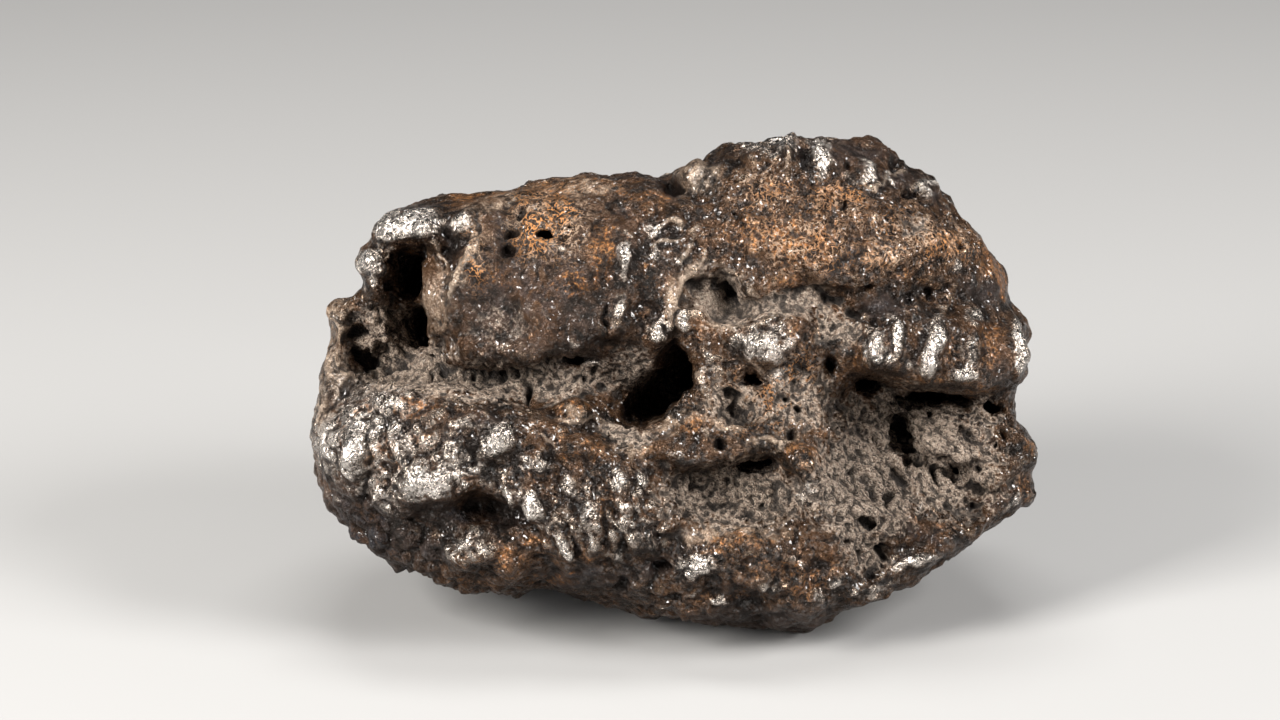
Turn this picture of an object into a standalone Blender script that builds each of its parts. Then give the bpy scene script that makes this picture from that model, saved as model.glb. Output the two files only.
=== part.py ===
"""An iron meteorite 100 mm across: one rough stone with a broad, pitted face that leans back.

The stone is worked out around that face. A place on the face is given in millimetres as
(across, up) from its middle, seen square on, and a height stands out of the face towards
the viewer. In the face's own frame X runs across, Z up the face, and -Y out of it.
"""

import math
from typing import NamedTuple

import bmesh
import bpy
import numpy as np
from mathutils import Matrix, Vector, noise

MM = 0.001

# Driving dimensions, in millimetres.
FRONT_BULGE = 19.0
BACK_BULGE = 27.0
ROUNDNESS = 2.5
RIM_FADE = 9.0
FACE_LEAN = math.radians(20)
FLOOR_BELOW_MIDDLE = 32.0
HIGHEST_RELIEF = 9.0
BOULDER_ROUGHNESS = 3.0
BROAD_ROUGHNESS = 1.5
FINE_ROUGHNESS = 0.9
GRAIN_ROUGHNESS = 0.5
POROUS_ROUGHNESS = 1.5

# How finely the solid is made.
SPHERE_SUBDIVISIONS = 7
VOXEL = 0.7
MOST_TRIANGLES = 9600

# The outline of the face, anticlockwise from its right end, as (across, up).
OUTLINE = [
    (46.8, 0.0), (48.4, 1.5), (49.0, 5.0), (49.2, 8.0), (47.5, 10.0), (46.5, 12.0),
    (45.5, 16.0), (44.0, 18.5), (40.0, 23.0), (36.5, 27.5), (33.0, 30.0), (30.2, 31.3),
    (28.0, 33.6), (25.0, 34.2), (20.0, 33.6), (15.0, 33.8), (10.0, 33.0), (7.0, 32.0),
    (5.0, 30.2), (0.5, 29.3), (-1.5, 28.2), (-3.0, 28.8), (-8.0, 29.1), (-15.0, 28.2),
    (-22.0, 26.7), (-28.0, 26.2), (-35.0, 25.2), (-40.0, 22.8), (-41.7, 20.3),
    (-41.5, 18.8), (-42.8, 16.8), (-42.2, 14.8), (-41.2, 13.0), (-42.3, 12.6),
    (-44.8, 11.8), (-46.8, 10.0), (-46.3, 7.0), (-47.2, 4.5), (-48.5, 0.5),
    (-49.0, -2.5), (-50.0, -7.0), (-49.5, -10.0), (-48.0, -14.0), (-45.0, -18.8),
    (-40.0, -23.5), (-36.0, -25.2), (-32.0, -26.8), (-26.0, -28.2), (-22.0, -29.0),
    (-17.0, -27.5), (-12.0, -28.8), (-8.0, -30.5), (-4.0, -32.0), (0.0, -31.5),
    (5.0, -33.0), (10.0, -33.3), (15.0, -33.8), (19.0, -34.0), (23.0, -30.7),
    (26.0, -30.0), (30.0, -28.5), (37.0, -24.5), (42.0, -21.0), (45.0, -18.8),
    (48.0, -17.5), (49.9, -15.0), (49.7, -13.0), (50.0, -9.0), (49.5, -6.7),
    (47.3, -5.0), (46.7, -3.0),
]

# The mouths of the central hole and of the smaller one beside it.
CENTRAL_MOUTH = (
    (0.4, 6.2), (1.6, 4.4), (3.5, 2.1), (3.5, 0.2), (2.5, -1.1), (-0.4, -2.8), (-1.0, -4.2),
    (-4.0, -5.2), (-6.8, -5.5), (-7.8, -3.8), (-6.5, -0.3), (-4.8, 1.2), (-2.8, 1.9),
    (-1.8, 3.9), (-0.6, 5.5),
)
SECOND_MOUTH = (
    (8.9, 2.9), (10.6, 2.3), (12.0, 1.4), (13.2, -0.4), (11.0, -0.7), (9.0, -0.5), (8.4, 1.2),
)


class Swell(NamedTuple):
    """A lump, or a hollow where rise is below 0, with an oval plan. Steep ones have a flat top."""

    across: float
    up: float
    half_width: float
    half_height: float
    turn: float
    rise: float
    steepness: float = 1.0


class Crease(NamedTuple):
    """A ridge, or a groove where rise is below 0, along a line of (across, up) places."""

    line: tuple
    half_width: float
    rise: float


class Edge(NamedTuple):
    """A ledge's edge. Walking along its line, the ground on the left stands up by rise and
    the ground on the right lies down by drop, and each fades out over its own width."""

    line: tuple
    rise: float
    high_width: float
    drop: float
    low_width: float


class Pocket(NamedTuple):
    """A blind hole with the given mouth, which narrows and leans as it goes in."""

    mouth: tuple
    depth: float
    lean_across: float = 0.0
    lean_up: float = 0.0


def oval(across, up, half_width, half_height, turn=0.0):
    """The mouth of a small round or oval pit, as a ring of (across, up) places."""
    tilt = math.radians(turn)
    ring = []
    for step in range(12):
        angle = math.radians(30 * step)
        wide, high = half_width * math.cos(angle), half_height * math.sin(angle)
        ring.append((across + wide * math.cos(tilt) - high * math.sin(tilt),
                     up + wide * math.sin(tilt) + high * math.cos(tilt)))
    return tuple(ring)


FACE_SWELLS = [
    Swell(-15.0, 16.0, 16.0, 10.5, 6, 2.5, 2.5),     # upper left slab
    Swell(-36.3, 21.8, 6.0, 3.4, 8, 6.5, 1.3),       # its corner, which overhangs a cavity
    Swell(-40.3, 16.7, 2.5, 2.0, 0, 7.5, 1.5),       # knob below the corner, and its stem
    Swell(-39.8, 12.8, 2.2, 3.0, 0, 4.0),
    Swell(-46.0, 4.5, 2.0, 6.5, -8, 2.5),            # left column
    Swell(-36.0, -8.0, 12.0, 8.0, -8, 4.5, 1.8),     # lower left lobe, with three bulges
    Swell(-44.0, -9.5, 4.2, 6.0, 0, 3.5, 1.3),
    Swell(-32.5, -12.0, 5.0, 5.0, 0, 3.0, 1.2),
    Swell(-24.0, -6.0, 5.5, 3.5, -20, 2.0, 1.3),
    Swell(-13.0, -3.6, 2.8, 1.5, -5, 1.5),           # two low blisters in the valley
    Swell(-11.7, -8.0, 3.3, 1.6, -10, 1.5),
    Swell(-25.5, -23.0, 6.3, 3.8, -8, 4.5, 1.4),     # knob under that lobe
    Swell(-5.0, -16.0, 8.0, 6.0, 0, 2.0, 1.6),       # lower middle mass
    Swell(-8.0, -25.0, 5.0, 4.0, 0, 2.0, 1.3),
    Swell(10.4, -22.8, 7.0, 4.0, 0, 4.0, 1.4),       # mound below the basin
    Swell(2.8, -25.0, 3.2, 2.0, 0, 2.0),             # toes along the foot
    Swell(5.0, -30.0, 4.0, 2.2, 0, 2.5),
    Swell(16.0, -29.0, 4.0, 3.2, 0, 3.0),
    Swell(16.6, -9.6, 2.6, 2.4, 0, 3.0, 1.5),        # two beads between the hollows
    Swell(17.6, -14.0, 1.7, 2.1, 0, 2.0, 1.3),
    Swell(37.5, -7.3, 4.3, 3.3, -20, 3.5, 1.5),      # island in the lower right hollow
    Swell(44.0, -13.0, 3.5, 3.5, 0, 2.5, 1.3),
    Swell(21.0, 22.5, 18.0, 9.5, -10, 4.0, 1.8),     # upper right dome
    Swell(17.0, 30.5, 9.0, 2.8, 3, 2.0, 1.3),
    Swell(36.5, 5.0, 12.5, 5.0, -3, 3.0, 2.5),       # right ledge
    Swell(39.3, 1.4, 2.0, 1.8, 0, 1.5),
    Swell(13.0, 5.2, 5.0, 3.0, 0, 3.0, 1.4),         # bright lump over the second hole
    Swell(-6.5, 16.0, 1.6, 3.5, 0, 1.2),
    Swell(-39.3, 6.2, 5.2, 6.0, 0, -5.0, 2.5),       # left cavity: a porous shelf, then a deep end
    Swell(-35.2, 11.5, 2.6, 7.2, 3, -5.5, 2.5),
    Swell(-24.5, -16.6, 5.0, 1.6, -8, -2.2, 1.8),    # shadowed recess under the left lobe
    Swell(8.5, -14.8, 9.5, 4.2, 0, -4.5, 2.0),       # dusty basin
    Swell(5.2, 12.0, 5.0, 3.8, -30, -3.6, 2.0),      # round dish, deepest to its upper right
    Swell(8.0, 12.4, 3.0, 1.3, -50, -2.2, 1.3),
    Swell(33.0, -9.0, 14.0, 8.5, -25, -8.0, 2.4),    # lower right hollow
    Swell(-2.0, -0.5, 7.5, 5.5, 40, -3.0, 1.5),      # funnel of the central hole
    Swell(8.6, -3.6, 2.3, 2.2, 0, -4.0, 1.8),        # crescent under the second hole
    Swell(0.2, 27.4, 1.8, 2.4, 10, -6.0, 1.5),       # notch at the top
    Swell(-21.5, 19.5, 2.2, 4.0, -15, -1.6, 1.3),    # dents in the slab
    Swell(-22.0, 9.0, 6.0, 4.5, 10, -1.8, 1.5),
]

FACE_CREASES = [
    Crease(((-42, 1.5), (-32, 2.5), (-22, 1), (-12, 0.5), (-7, -1)), 3.4, -6.0),     # valley
    Crease(((9, 10.8), (14, 11), (20, 10.8)), 2.0, -1.0),                   # outlet of the dish
    Crease(((3, 21), (2, 18.4), (0.7, 15.3)), 0.9, 1.5),                    # ridge to the dish
    Crease(((-2.2, 6), (-0.6, 9), (-0.2, 12), (0.8, 14.2), (3.3, 16.6), (6, 16), (8.8, 14.2),
            (11.4, 11.6)), 1.0, 2.2),                                       # rim of the dish
    Crease(((-0.4, 10.2), (3.4, 8), (6.5, 7), (9.6, 7.3), (11.8, 8.6), (14, 9.4), (18, 8.3)),
           1.0, 2.0),
    Crease(((5.6, -0.5), (6.0, -4.6), (8.5, -6.3), (11.5, -5.2), (12.8, -2.5)), 0.8, 1.6),
    Crease(((28, 7.5), (26, 2.2)), 1.1, 2.2),                               # ribs of the ledge
    Crease(((31.2, 11), (29.6, 5)), 1.0, 2.0),
    Crease(((36.6, 9.3), (33.2, 0.6)), 1.4, 2.2),
    Crease(((40.4, 10.6), (39.6, 5)), 1.4, 1.6),
    Crease(((46, 8.7), (46, 1.2)), 1.2, 2.0),
    Crease(((-20, -11), (-17, -17), (-14, -23)), 1.6, 2.4),                 # flutes of the foot
    Crease(((-13, -11), (-11.5, -16), (-10, -21)), 1.2, 1.5),
    Crease(((-7, -11), (-6, -17), (-4.5, -23)), 1.3, 1.4),
    Crease(((18.5, -12), (19.8, -18), (22.5, -24), (25, -28.5)), 1.8, 2.6),
    Crease(((11.8, -28.5), (11.8, -33)), 0.8, -2.0),                        # cleft in the foot
    Crease(((-40, -2), (-38, -8), (-39, -14)), 1.2, -1.6),                  # between the bulges
]

FACE_EDGES = [
    Edge(((23, 2.0), (28, 0.6), (33, -0.4), (42, -1.1), (45, 0.2), (50.5, 0.8)),
         3.5, 6.0, 5.5, 6.0),                                               # foot of the ledge
    Edge(((-5, -9.4), (-9, -8.6), (-14, -5.9), (-20, -2.4), (-27, -0.3), (-36, 0.2), (-45, 1.6)),
         2.0, 4.0, 2.0, 4.0),                                               # top of the lobe
    Edge(((-4, -9.0), (1.5, -10.9), (7.6, -10.4), (12.8, -8.8), (17, -9.5)),
         1.6, 2.5, 3.0, 3.0),                                               # over the basin
    Edge(((-26.5, 20.5), (-29.3, 15), (-30.2, 9), (-29, 2.5)),
         2.0, 3.5, 2.5, 3.5),                                               # side of the slab
    Edge(((-29, 3.6), (-21, 3.4), (-13, 5.4), (-7.5, 6.5), (-4, 6.8)),
         1.2, 4.0, 1.5, 3.0),                                               # foot of the slab
    Edge(((17, 13.2), (24, 12.8), (34, 13.4), (46, 12.6)),
         1.0, 3.0, 1.2, 2.0),                                               # foot of the dome
    Edge(((-45, 19.4), (-38, 18.7), (-32.5, 18.4), (-30, 18.8)),
         1.0, 3.5, 3.5, 2.5),                                               # under the corner
    Edge(((50, -13.5), (43, -17.8), (36, -20.8), (28, -25.2), (22.5, -28.5)),
         2.0, 3.0, 1.5, 4.0),                                               # lip at lower right
    Edge(((-32, -16), (-27, -14.2), (-20, -15.4), (-15, -19)),
         1.2, 3.0, 1.6, 3.0),                                               # under the lobe
]

POCKETS = [
    Pocket(CENTRAL_MOUTH, 24.0, 0.25, 0.1),
    Pocket(SECOND_MOUTH, 10.0, 0.1, 0.1),
    Pocket(oval(11.2, -10.9, 3.3, 1.3, 8), 9.0, 0.0, 0.3),       # slot over the basin
    Pocket(oval(-35.6, 15.0, 2.1, 3.2, 8), 9.0, 0.2, 0.0),       # deep ends of the left cavity
    Pocket(oval(-35.0, 8.0, 2.3, 3.1, -8), 9.0, 0.2, 0.0),
    Pocket(oval(30.9, -7.1, 2.1, 3.2, 5), 9.0, 0.1, 0.2),        # pits in the lower right hollow
    Pocket(oval(31.8, -10.0, 2.4, 1.2, -30), 8.0, 0.1, 0.2),
    Pocket(oval(38.3, -12.3, 1.4, 2.0, 15), 6.0, 0.1, 0.2),
    Pocket(oval(44.2, -3.4, 1.5, 1.0, -20), 3.5),
    Pocket(oval(25.8, -18.4, 1.9, 1.0, -25), 5.0, 0.0, 0.3),
    Pocket(oval(26.6, 0.0, 2.6, 1.3, 0), 8.0, 0.0, 0.25),        # gap under the ledge
    Pocket(oval(36.0, -2.1, 6.8, 1.3, -3), 9.5, 0.0, 0.2),
    Pocket(oval(20.9, 2.9, 1.2, 1.6, 0), 5.0),                   # lone pits
    Pocket(oval(-12.0, 4.0, 1.9, 1.1, 10), 4.0),
    Pocket(oval(-17.0, 19.8, 1.3, 1.0, -15), 3.5),
]

# Where the ground is porous, from 0 to 1 in place of a rise.
POROUS_GROUND = [
    Swell(-38.5, 5.5, 6.0, 7.5, 0, 1.0, 2.0),        # left cavity
    Swell(-20.0, 1.0, 17.0, 3.0, 0, 0.8, 2.0),       # valley
    Swell(8.5, -14.0, 9.5, 5.0, 0, 0.7, 2.0),        # basin
    Swell(35.0, -9.0, 15.0, 9.5, -25, 1.0, 2.0),     # lower right hollow
    Swell(9.0, -3.0, 5.0, 4.0, 0, 0.5, 2.0),         # around the second hole
]

BACK_SWELLS = [
    Swell(-24.0, 10.0, 9.0, 7.0, 20, -5.0, 1.6),     # thumbprint hollows
    Swell(-8.0, 2.0, 7.5, 7.0, -10, -4.5, 1.6),
    Swell(9.0, -9.0, 9.0, 6.5, -15, -5.5, 1.6),
    Swell(25.0, -5.0, 7.0, 7.0, 10, -4.5, 1.6),
    Swell(27.0, 14.0, 9.0, 6.5, 30, -5.0, 1.6),
    Swell(8.0, 13.0, 8.0, 6.0, 0, -4.5, 1.6),
    Swell(-9.0, 20.0, 7.0, 5.0, 15, -4.0, 1.6),
    Swell(-32.0, -9.0, 7.0, 7.0, 0, -4.5, 1.6),
    Swell(-14.0, -16.0, 8.0, 5.0, 10, -4.0, 1.6),
    Swell(38.0, -2.0, 4.0, 6.0, 0, 2.5, 1.2),        # and the swells between them
    Swell(-38.0, 4.0, 4.0, 5.0, 0, 2.5, 1.2),
    Swell(0.0, -22.0, 12.0, 5.0, 0, 3.0, 1.2),
]


def smooth_step(low, high, value):
    share = np.clip((value - low) / (high - low), 0, 1)
    return share * share * (3 - 2 * share)


def outline_radius(angle):
    """Distance from the middle of the face to its outline, in a direction given in radians."""
    across, up = np.array(OUTLINE).T
    return np.interp(angle, np.arctan2(up, across), np.hypot(across, up), period=2 * math.pi)


def broad_radius(angle):
    """The outline with its notches evened out, for the body behind it."""
    spread = np.radians(np.linspace(-14, 14, 9))
    return np.mean([outline_radius(angle + turn) for turn in spread], axis=0)


def nearest_on_line(line, across, up):
    """Distance to a line, the side of it (1 left, -1 right), and the share of its length."""
    nearest = np.full_like(across, np.inf)
    side = np.ones_like(across)
    along = np.zeros_like(across)
    lengths = [math.dist(start, end) for start, end in zip(line, line[1:])]
    passed = 0.0
    for (x0, y0), (x1, y1), length in zip(line, line[1:], lengths):
        run, climb = (x1 - x0) / length, (y1 - y0) / length
        ahead = np.clip((across - x0) * run + (up - y0) * climb, 0, length)
        gap = np.hypot(across - x0 - ahead * run, up - y0 - ahead * climb)
        left = (up - y0) * run - (across - x0) * climb
        closer = gap < nearest
        nearest = np.where(closer, gap, nearest)
        side = np.where(closer, np.sign(left), side)
        along = np.where(closer, passed + ahead, along)
        passed += length
    return nearest, side, along / passed


def swell_rise(swells, across, up):
    total = np.zeros_like(across)
    for swell in swells:
        turn = math.radians(swell.turn)
        right, above = across - swell.across, up - swell.up
        wide = (right * math.cos(turn) + above * math.sin(turn)) / swell.half_width
        high = (above * math.cos(turn) - right * math.sin(turn)) / swell.half_height
        total += swell.rise * np.exp(-((wide ** 2 + high ** 2) ** swell.steepness))
    return total


def crease_rise(across, up):
    ridges = np.zeros_like(across)
    grooves = np.zeros_like(across)
    for crease in FACE_CREASES:
        gap, _, _ = nearest_on_line(crease.line, across, up)
        rise = crease.rise * np.exp(-((gap / crease.half_width) ** 2))
        ridges = np.maximum(ridges, rise)
        grooves = np.minimum(grooves, rise)
    return ridges + grooves


def edge_rise(across, up):
    total = np.zeros_like(across)
    for edge in FACE_EDGES:
        gap, side, share = nearest_on_line(edge.line, across, up)
        high = edge.rise * np.exp(-((gap / edge.high_width) ** 2))
        low = -edge.drop * np.exp(-((gap / edge.low_width) ** 2))
        ends = smooth_step(0, 0.12, share) * smooth_step(0, 0.12, 1 - share)
        total += ends * (low + (high - low) * smooth_step(-0.6, 0.6, gap * side))
    return total


def face_relief(across, up):
    relief = swell_rise(FACE_SWELLS, across, up) + crease_rise(across, up) + edge_rise(across, up)
    return np.where(relief > 0, HIGHEST_RELIEF * np.tanh(relief / HIGHEST_RELIEF), relief)


def face_height(across, up):
    """How far the face stands out at one place."""
    share = math.hypot(across, up) / float(outline_radius(math.atan2(up, across)))
    bulge = FRONT_BULGE * max(0.0, 1 - share ** ROUNDNESS) ** (1 / ROUNDNESS)
    return bulge + float(face_relief(np.array([across]), np.array([up]))[0])


def rounded_body(directions):
    """Places on the stone, as (across, up, out), for unit directions from its middle."""
    across, up, out = directions.T
    angle = np.arctan2(up, across)
    spread = np.clip(np.hypot(across, up), 0, 1) ** (2 / ROUNDNESS)
    bulge = np.abs(out) ** (2 / ROUNDNESS)
    height = np.where(out > 0, FRONT_BULGE * bulge, -BACK_BULGE * bulge)
    edge = np.exp(-((height / RIM_FADE) ** 2))
    broad = broad_radius(angle)
    radius = broad + (outline_radius(angle) - broad) * edge
    x, y = radius * spread * np.cos(angle), radius * spread * np.sin(angle)
    height += smooth_step(0.0, 0.35, out) * face_relief(x, y)
    height -= smooth_step(0.0, 0.35, -out) * swell_rise(BACK_SWELLS, x, y)
    return np.stack([x, y, height], axis=1)


def roughness_at(place, off_rim, off_face, porous):
    """Uneven lumps of several sizes, in millimetres, at a place given in millimetres. The
    broad ones leave the outline alone, and the broadest leave the whole face alone."""
    place = Vector(place)
    boulder = noise.noise(place / 19.0 + Vector((5.3, 2.9, 4.1))) * off_face
    broad = noise.noise(place / 11.0 + Vector((3.1, 0.4, 7.7))) * off_rim
    fine = noise.noise(place / 4.5 + Vector((9.2, 5.5, 1.3)))
    grain = noise.noise(place / 2.3 + Vector((2.2, 8.1, 6.4)))
    pores = noise.noise(place / 2.8 + Vector((6.6, 1.9, 3.7))) * porous
    return (BOULDER_ROUGHNESS * boulder + BROAD_ROUGHNESS * broad + FINE_ROUGHNESS * fine
            + GRAIN_ROUGHNESS * grain + POROUS_ROUGHNESS * pores)


def local(across, up, out):
    """A place on the face, in the face's own frame and in metres."""
    return Vector((across, -out, up)) * MM


def new_object(name, mesh, collection):
    made = bpy.data.objects.new(name, mesh)
    collection.objects.link(made)
    return made


def make_body(collection):
    """The whole stone before its deep holes are cut."""
    mesh = bpy.data.meshes.new("body")
    ball = bmesh.new()
    bmesh.ops.create_icosphere(ball, subdivisions=SPHERE_SUBDIVISIONS, radius=1)
    directions = np.array([vertex.co.normalized() for vertex in ball.verts])
    places = rounded_body(directions)
    off_rim = 0.3 + 0.7 * smooth_step(0.0, 0.4, np.abs(directions[:, 2]))
    off_face = smooth_step(0.1, 0.5, -directions[:, 2])
    porous = swell_rise(POROUS_GROUND, places[:, 0], places[:, 1]) * (directions[:, 2] > 0)
    for number, vertex in enumerate(ball.verts):
        place, direction = places[number], directions[number]
        rough = roughness_at(place, off_rim[number], off_face[number], porous[number])
        vertex.co = local(*(place + direction * rough))
    bmesh.ops.recalc_face_normals(ball, faces=ball.faces)
    ball.to_mesh(mesh)
    ball.free()
    return new_object("body", mesh, collection)


def make_pocket_cutter(number, pocket, collection):
    """A well with the pocket's mouth, from in front of the face down to the pocket's floor."""
    middle_across, middle_up = np.mean(pocket.mouth, axis=0)
    ground = face_height(middle_across, middle_up)
    mesh = bpy.data.meshes.new(f"pocket_{number}")
    well = bmesh.new()
    rings = []
    for depth_share, width_share in ((-1.0, 1.0), (0.0, 1.0), (0.45, 0.95), (0.8, 0.7), (1.0, 0.3)):
        depth = pocket.depth * depth_share if depth_share > 0 else 8.0 * depth_share
        ring = []
        for across, up in pocket.mouth:
            rough = 1 + 0.15 * noise.noise(Vector((across / 2, up / 2, depth / 4 + number)))
            wide = (across - middle_across) * width_share * rough
            high = (up - middle_up) * width_share * rough
            lean = max(0.0, depth)
            ring.append(well.verts.new(local(middle_across + wide + lean * pocket.lean_across,
                                             middle_up + high + lean * pocket.lean_up,
                                             ground - depth)))
        rings.append(ring)
    for outer, inner in zip(rings, rings[1:]):
        for first in range(len(outer)):
            second = (first + 1) % len(outer)
            well.faces.new((outer[first], outer[second], inner[second], inner[first]))
    well.faces.new(rings[0])
    well.faces.new(rings[-1])
    bmesh.ops.recalc_face_normals(well, faces=well.faces)
    well.to_mesh(mesh)
    well.free()
    return new_object(f"pocket_{number}", mesh, collection)


def make_floor_cutter(collection):
    """All that lies below the surface that the stone stands on."""
    side, depth = 0.4, 0.1
    bpy.ops.mesh.primitive_cube_add(size=1, location=(0, 0, -depth / 2 - FLOOR_BELOW_MIDDLE * MM))
    slab = bpy.context.object
    slab.name = "floor_slab"
    slab.scale = (side, side, depth)
    for holder in slab.users_collection:
        holder.objects.unlink(slab)
    collection.objects.link(slab)
    return slab


def cut(body, cutter):
    boolean = body.modifiers.new(f"cut_{cutter.name}", "BOOLEAN")
    boolean.operation = "DIFFERENCE"
    boolean.object = cutter


def even_out(body):
    """Joins the cuts into one even skin, then drops the triangles that flat stretches don't need."""
    remesh = body.modifiers.new("even_skin", "REMESH")
    remesh.mode = "VOXEL"
    remesh.voxel_size = VOXEL * MM
    bpy.context.view_layer.update()
    evaluated = body.evaluated_get(bpy.context.evaluated_depsgraph_get())
    mesh = evaluated.to_mesh()
    mesh.calc_loop_triangles()
    triangles = len(mesh.loop_triangles)
    evaluated.to_mesh_clear()
    thin = body.modifiers.new("fewer_triangles", "DECIMATE")
    thin.ratio = min(1.0, MOST_TRIANGLES / triangles)


def stone_material():
    material = bpy.data.materials.new("meteorite_iron")
    material.use_nodes = True
    shader = material.node_tree.nodes["Principled BSDF"]
    shader.inputs["Base Color"].default_value = (0.16, 0.12, 0.095, 1)
    shader.inputs["Metallic"].default_value = 0.7
    shader.inputs["Roughness"].default_value = 0.42
    return material


def finish_stone(body, collection):
    """The stone as one plain mesh, standing on the origin in the middle of its box."""
    graph = bpy.context.evaluated_depsgraph_get()
    mesh = bpy.data.meshes.new_from_object(body.evaluated_get(graph))
    mesh.name = "meteorite"
    mesh.transform(body.matrix_world)
    corners = np.array([vertex.co for vertex in mesh.vertices])
    low, high = corners.min(axis=0), corners.max(axis=0)
    middle = (low + high) / 2
    mesh.transform(Matrix.Translation((-middle[0], -middle[1], -low[2])))
    mesh.shade_smooth()
    mesh.materials.clear()
    mesh.materials.append(stone_material())
    return new_object("meteorite", mesh, collection), middle, low


def main():
    for leftover in list(bpy.data.objects):
        bpy.data.objects.remove(leftover)
    stone_collection = bpy.data.collections.new("meteorite")
    shaping = bpy.data.collections.new("shaping")
    for collection in (stone_collection, shaping):
        bpy.context.scene.collection.children.link(collection)
    lean = new_object("face_lean", None, shaping)
    lean.rotation_euler.x = -FACE_LEAN
    body = make_body(shaping)
    cutters = [make_pocket_cutter(n, p, shaping) for n, p in enumerate(POCKETS)]
    for shape in [body, *cutters]:
        shape.parent = lean
    for cutter in cutters:
        cut(body, cutter)
    even_out(body)
    floor = make_floor_cutter(shaping)
    cut(body, floor)
    for helper in [body, floor, *cutters]:
        helper.hide_render = True
        helper.display_type = "WIRE"
    bpy.context.view_layer.update()
    return finish_stone(body, stone_collection)


if __name__ == "__main__":
    main()
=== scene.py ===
"""The looks of an iron meteorite: its fine relief, its metal, rust and dust, and a plain studio.

Places on the stone's broad face are in millimetres, as (across, up) from the face's middle,
seen square on. A third number, out, stands out of the face towards the viewer.
"""

import math

import bmesh
import bpy
import numpy as np
from mathutils import Matrix, Vector


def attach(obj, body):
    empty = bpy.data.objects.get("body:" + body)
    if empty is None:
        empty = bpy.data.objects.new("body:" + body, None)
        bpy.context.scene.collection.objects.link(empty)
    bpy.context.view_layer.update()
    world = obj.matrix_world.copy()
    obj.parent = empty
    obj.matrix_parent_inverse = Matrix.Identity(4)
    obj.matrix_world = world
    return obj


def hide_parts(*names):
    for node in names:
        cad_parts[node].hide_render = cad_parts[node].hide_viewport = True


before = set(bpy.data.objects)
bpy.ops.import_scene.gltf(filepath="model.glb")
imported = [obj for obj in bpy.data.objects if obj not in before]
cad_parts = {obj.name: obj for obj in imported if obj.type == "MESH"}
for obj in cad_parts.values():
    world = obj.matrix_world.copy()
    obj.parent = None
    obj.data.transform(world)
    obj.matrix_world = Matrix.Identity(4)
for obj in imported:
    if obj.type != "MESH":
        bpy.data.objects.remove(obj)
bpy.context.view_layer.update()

MM = 0.001
# The face leans back, and the viewer looks straight at it.
FACE_MIDDLE = Vector((-0.00031, -0.00252, 0.03200))
FACE_LEAN = math.radians(20)
# The viewer's place: across, back and up from the face's middle, in millimetres.
VIEWER = Vector((-4.27, -489.7, 3.44))
LENS = 100
SENSOR = 36
# The fine mesh: the size of its faces in millimetres, and its limit.
VOXEL = 0.36
MOST_TRIANGLES = 192000
# The face's marks fade out between these two values of out, in millimetres.
FRONT_FADE = (-4, 2)
# The relief fades out over this height above the floor, so that the foot stays flat.
FOOT_FADE = 1.5
FLAT_FOOT = 0.05
# How much of the relief is left out on dusty and on calm ground.
DUST_COVER = 0.85
CALM_COVER = 0.85

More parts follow.
